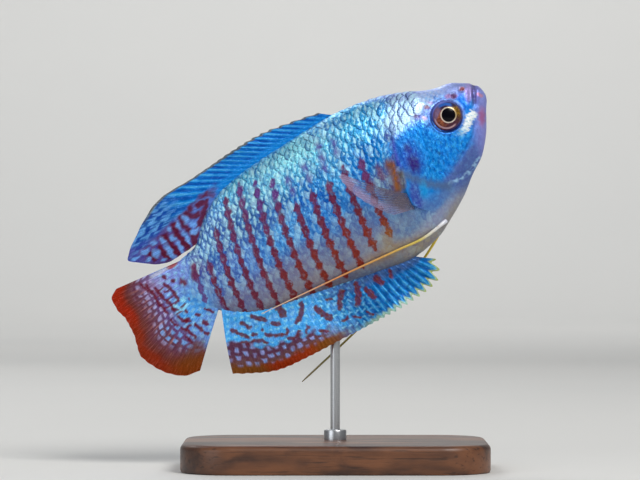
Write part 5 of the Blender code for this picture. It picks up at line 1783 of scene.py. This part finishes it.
# %% Stand finishes
def wood_finish():
    """Dark walnut: grain drawn out along the block, with fine pores."""
    paint = Paint("dark_walnut", Coat_Weight=0.25, Coat_Roughness=0.25)
    where = paint.node("ShaderNodeTexCoord", {}, {}, "Object")
    warp = paint.noise(where, 38, 3)
    x, y, z = paint.split(where)
    bent = paint.node(
        "ShaderNodeCombineXYZ", {}, {0: x * 14 + warp * 0.5, 1: y * 110 + warp * 2.2, 2: z * 110}
    )
    grain = paint.noise(bent, 2.4, 6)
    pores = paint.noise(
        paint.node("ShaderNodeCombineXYZ", {}, {0: x * 130, 1: y * 1900, 2: z * 1900}), 1, 2
    )
    colour = paint.mix(plain(58, 34, 22), plain(116, 72, 44), grain.rise(0.34, 0.68))
    colour = paint.mix(colour, plain(34, 19, 12), pores.rise(0.56, 0.74) * 0.65)
    height = grain * 0.3 - pores.rise(0.5, 0.7) * 0.7
    return paint.finish(
        Base_Color=colour, Roughness=0.42 + pores * 0.14, Normal=paint.bump(height, 0.00006, 0.4))


def steel_finish():
    """Steel with faint rings from the lathe."""
    paint = Paint("brushed_steel", Metallic=1.0)
    where = paint.node("ShaderNodeTexCoord", {}, {}, "Object")
    lines = paint.noise(paint.stretch(where, (900.0, 900.0, 14000.0)), 1.0, 2.0)
    colour = paint.mix(plain(168, 170, 174), plain(206, 208, 210), lines)
    return paint.finish(
        Base_Color=colour, Roughness=0.24 + lines * 0.16, Normal=paint.bump(lines, 0.00001, 0.3)
    )


# %% Stand shapes
BASE_LENGTH, BASE_WIDTH, BASE_HEIGHT, BASE_CORNER = 54.0, 36.0, 5.0, 9.0
ROD_RADIUS, ROD_SIDE, ROD_SOCKET, ROD_TOP = 0.85, 1.9, 2.2, 40.5
COLLAR_RADIUS, COLLAR_HEIGHT = 2.0, 1.6


def block_rings(profile, across=176):
    """Rounded rectangles, one for each (inset, height): straight sides and quarter-circle corners."""
    turn = around(across) + math.pi / across
    inset, height = np.array(profile, float).T
    corner = np.maximum(BASE_CORNER - inset, 0.4)[:, None]
    x = np.sign(np.cos(turn)) * np.maximum(
        BASE_LENGTH / 2 - BASE_CORNER - np.maximum(inset - 8.6, 0)[:, None], 0
    )
    y = np.sign(np.sin(turn)) * np.maximum(
        BASE_WIDTH / 2 - BASE_CORNER - np.maximum(inset - 8.6, 0)[:, None], 0
    )
    return stacked(x + corner * np.cos(turn), y + corner * np.sin(turn), height[:, None])


def stand_block():
    """The base: a flat block with a rounded upper edge."""
    bevel = [
        (1.0 - 1.0 * math.sin(t), BASE_HEIGHT - 1.0 + 1.0 * math.cos(t)) for t in np.linspace(1.57, 0, 7)
    ]
    profile = [(16, 0.0), (8, 0.0), (0.6, 0.0), (0.12, 0.12), (0.0, 0.5), (0.0, 2.4)] + bevel
    profile += [(3.0, BASE_HEIGHT), (8.0, BASE_HEIGHT), (16.0, BASE_HEIGHT)]
    rings = block_rings(profile)
    points, faces = closed_tube(rings, (0, 0, 0), (0, 0, BASE_HEIGHT))
    made = build("stand_block", points * MM, [f[:, ::-1] for f in faces])
    made.data.set_sharp_from_angle(angle=math.radians(38))
    return settle(made, "stand_wood", wood_finish(), "stand_base")


def turned(name, profile, node, finish, sides=56):
    """A lathe shape round the rod's line, from (radius, height) pairs."""
    radius, height = np.array(profile, float).T
    turn = around(sides)[None]
    radius = radius[:, None]
    rings = stacked(radius * np.cos(turn), ROD_SIDE + radius * np.sin(turn), height[:, None])
    points, faces = closed_tube(rings, (0, ROD_SIDE, height[0]), (0, ROD_SIDE, height[-1]))
    made = build(name, points * MM, [f[:, ::-1] for f in faces])
    made.data.set_sharp_from_angle(angle=math.radians(38))
    return settle(made, "stand_steel", finish, node)


steel = steel_finish()
stand_block()
turned(
    "stand_rod_bar",
    [
        (ROD_RADIUS, BASE_HEIGHT - ROD_SOCKET + 0.3), (ROD_RADIUS, 20.0), (ROD_RADIUS, ROD_TOP - 0.4),
        (ROD_RADIUS - 0.3, ROD_TOP),
    ],
    "stand_rod", steel
)
collar_top = BASE_HEIGHT + 0.02 + COLLAR_HEIGHT + 0.25
turned(
    "stand_collar_ring",
    [
        (COLLAR_RADIUS, BASE_HEIGHT - 0.05), (COLLAR_RADIUS, collar_top - 0.35),
        (COLLAR_RADIUS - 0.1, collar_top - 0.1), (COLLAR_RADIUS - 0.35, collar_top),
        (ROD_RADIUS, collar_top),
    ],
    "stand_collar", steel
)

# %% [markdown]
# ## Floor, light and camera
#
# The stage is plain: a pale floor that curves up into a pale wall, so no corner shows. A large soft lamp
# above and in front of the head gives the gleam on nape and scales, a second one fills the belly, a third
# lights the tail from behind, and a fourth keeps the wall pale. The camera looks level, with a long lens,
# as the photo does.

# %% Stage
WALL_FOOT, SWEEP = 1.1, 0.4  # metres behind the fish, and the radius of the curve


def sweep_stage():
    """A floor whose far edge turns up in a quarter circle, far enough behind the fish that the model can
    also be looked at from behind."""
    turn = np.linspace(0, math.pi / 2, 24)
    curve_y, curve_z = WALL_FOOT + SWEEP * np.sin(turn[1:]), SWEEP - SWEEP * np.cos(turn[1:])
    y = np.concatenate([[-2.2], np.linspace(-0.4, WALL_FOOT, 6), curve_y, [WALL_FOOT + SWEEP]])
    z = np.concatenate([np.zeros(7), curve_z, [2.6]])
    x = np.linspace(-3.0, 3.0, 9)
    grid = stacked(x[None], y[:, None], z[:, None])
    made = build("floor", grid.reshape(-1, 3), grid_faces(len(y), len(x))[:, ::-1])
    paint = Paint("pale_floor", Specular_IOR_Level=0.2)
    cloth = paint.noise(paint.node("ShaderNodeTexCoord", {}, {}, "Object"), 6.0, 3.0)
    colour = paint.mix(plain(214, 214, 212), plain(222, 221, 218), cloth)
    made.data.materials.append(paint.finish(Base_Color=colour, Roughness=0.75 + cloth * 0.1))


def lamp(name, place, target, size, power, colour=(1, 1, 1)):
    """A round soft lamp at a place, turned to its target."""
    data = bpy.data.lights.new(name, "AREA")
    data.shape, data.size, data.energy, data.color = "DISK", size, power, colour
    made = bpy.data.objects.new(name, data)
    bpy.context.scene.collection.objects.link(made)
    made.location = place
    heading = np.array(target, float) - np.array(place, float)
    length = float(np.linalg.norm(heading))
    made.rotation_euler = (
        math.acos(-heading[2] / length), 0, math.atan2(heading[1], heading[0]) - math.pi / 2,
    )
    return made


sweep_stage()
lamp("key", (0.34, -0.52, 0.62), (0.0, 0.0, 0.045), 0.42, 5.3, (1.0, 0.985, 0.96))
lamp("fill", (-0.5, -0.5, 0.22), (-0.01, 0.0, 0.04), 0.5, 1.2, (0.93, 0.97, 1.0))
lamp("rim", (-0.25, 0.42, 0.5), (-0.01, 0.0, 0.045), 0.35, 1.4)
lamp("wall", (0.0, 0.7, 0.9), (0.0, 1.5, 0.75), 0.8, 7.5)
world = bpy.data.worlds.new("studio") if bpy.context.scene.world is None else bpy.context.scene.world
bpy.context.scene.world = world
world.use_nodes = True
world.node_tree.nodes["Background"].inputs["Color"].default_value = (0.86, 0.9, 0.95, 1)
world.node_tree.nodes["Background"].inputs["Strength"].default_value = 0.24
bpy.context.scene.view_settings.view_transform = "Standard"

# %% Camera
CAMERA_BACK = 0.6
FRAME_WIDTH = 640
PIXEL = 0.1765 * MM  # what one pixel of the frame covers at the fish's middle plane
SNOUT_RIGHT, SNOUT_ABOVE = 166.5, 143  # the snout's place in the frame, in pixels from its middle
camera_data = bpy.data.cameras.new("camera")
camera_data.sensor_width = 36.0
camera_data.lens = camera_data.sensor_width * CAMERA_BACK / (FRAME_WIDTH * PIXEL)
camera = bpy.data.objects.new("camera", camera_data)
bpy.context.scene.collection.objects.link(camera)
camera.location = (
    SNOUT_FORWARD * MM - SNOUT_RIGHT * PIXEL, -CAMERA_BACK, SNOUT_HEIGHT * MM - SNOUT_ABOVE * PIXEL,
)
camera.rotation_euler = (math.pi / 2, 0, 0)
bpy.context.scene.camera = camera
print("lens:", round(camera_data.lens, 1), "mm")
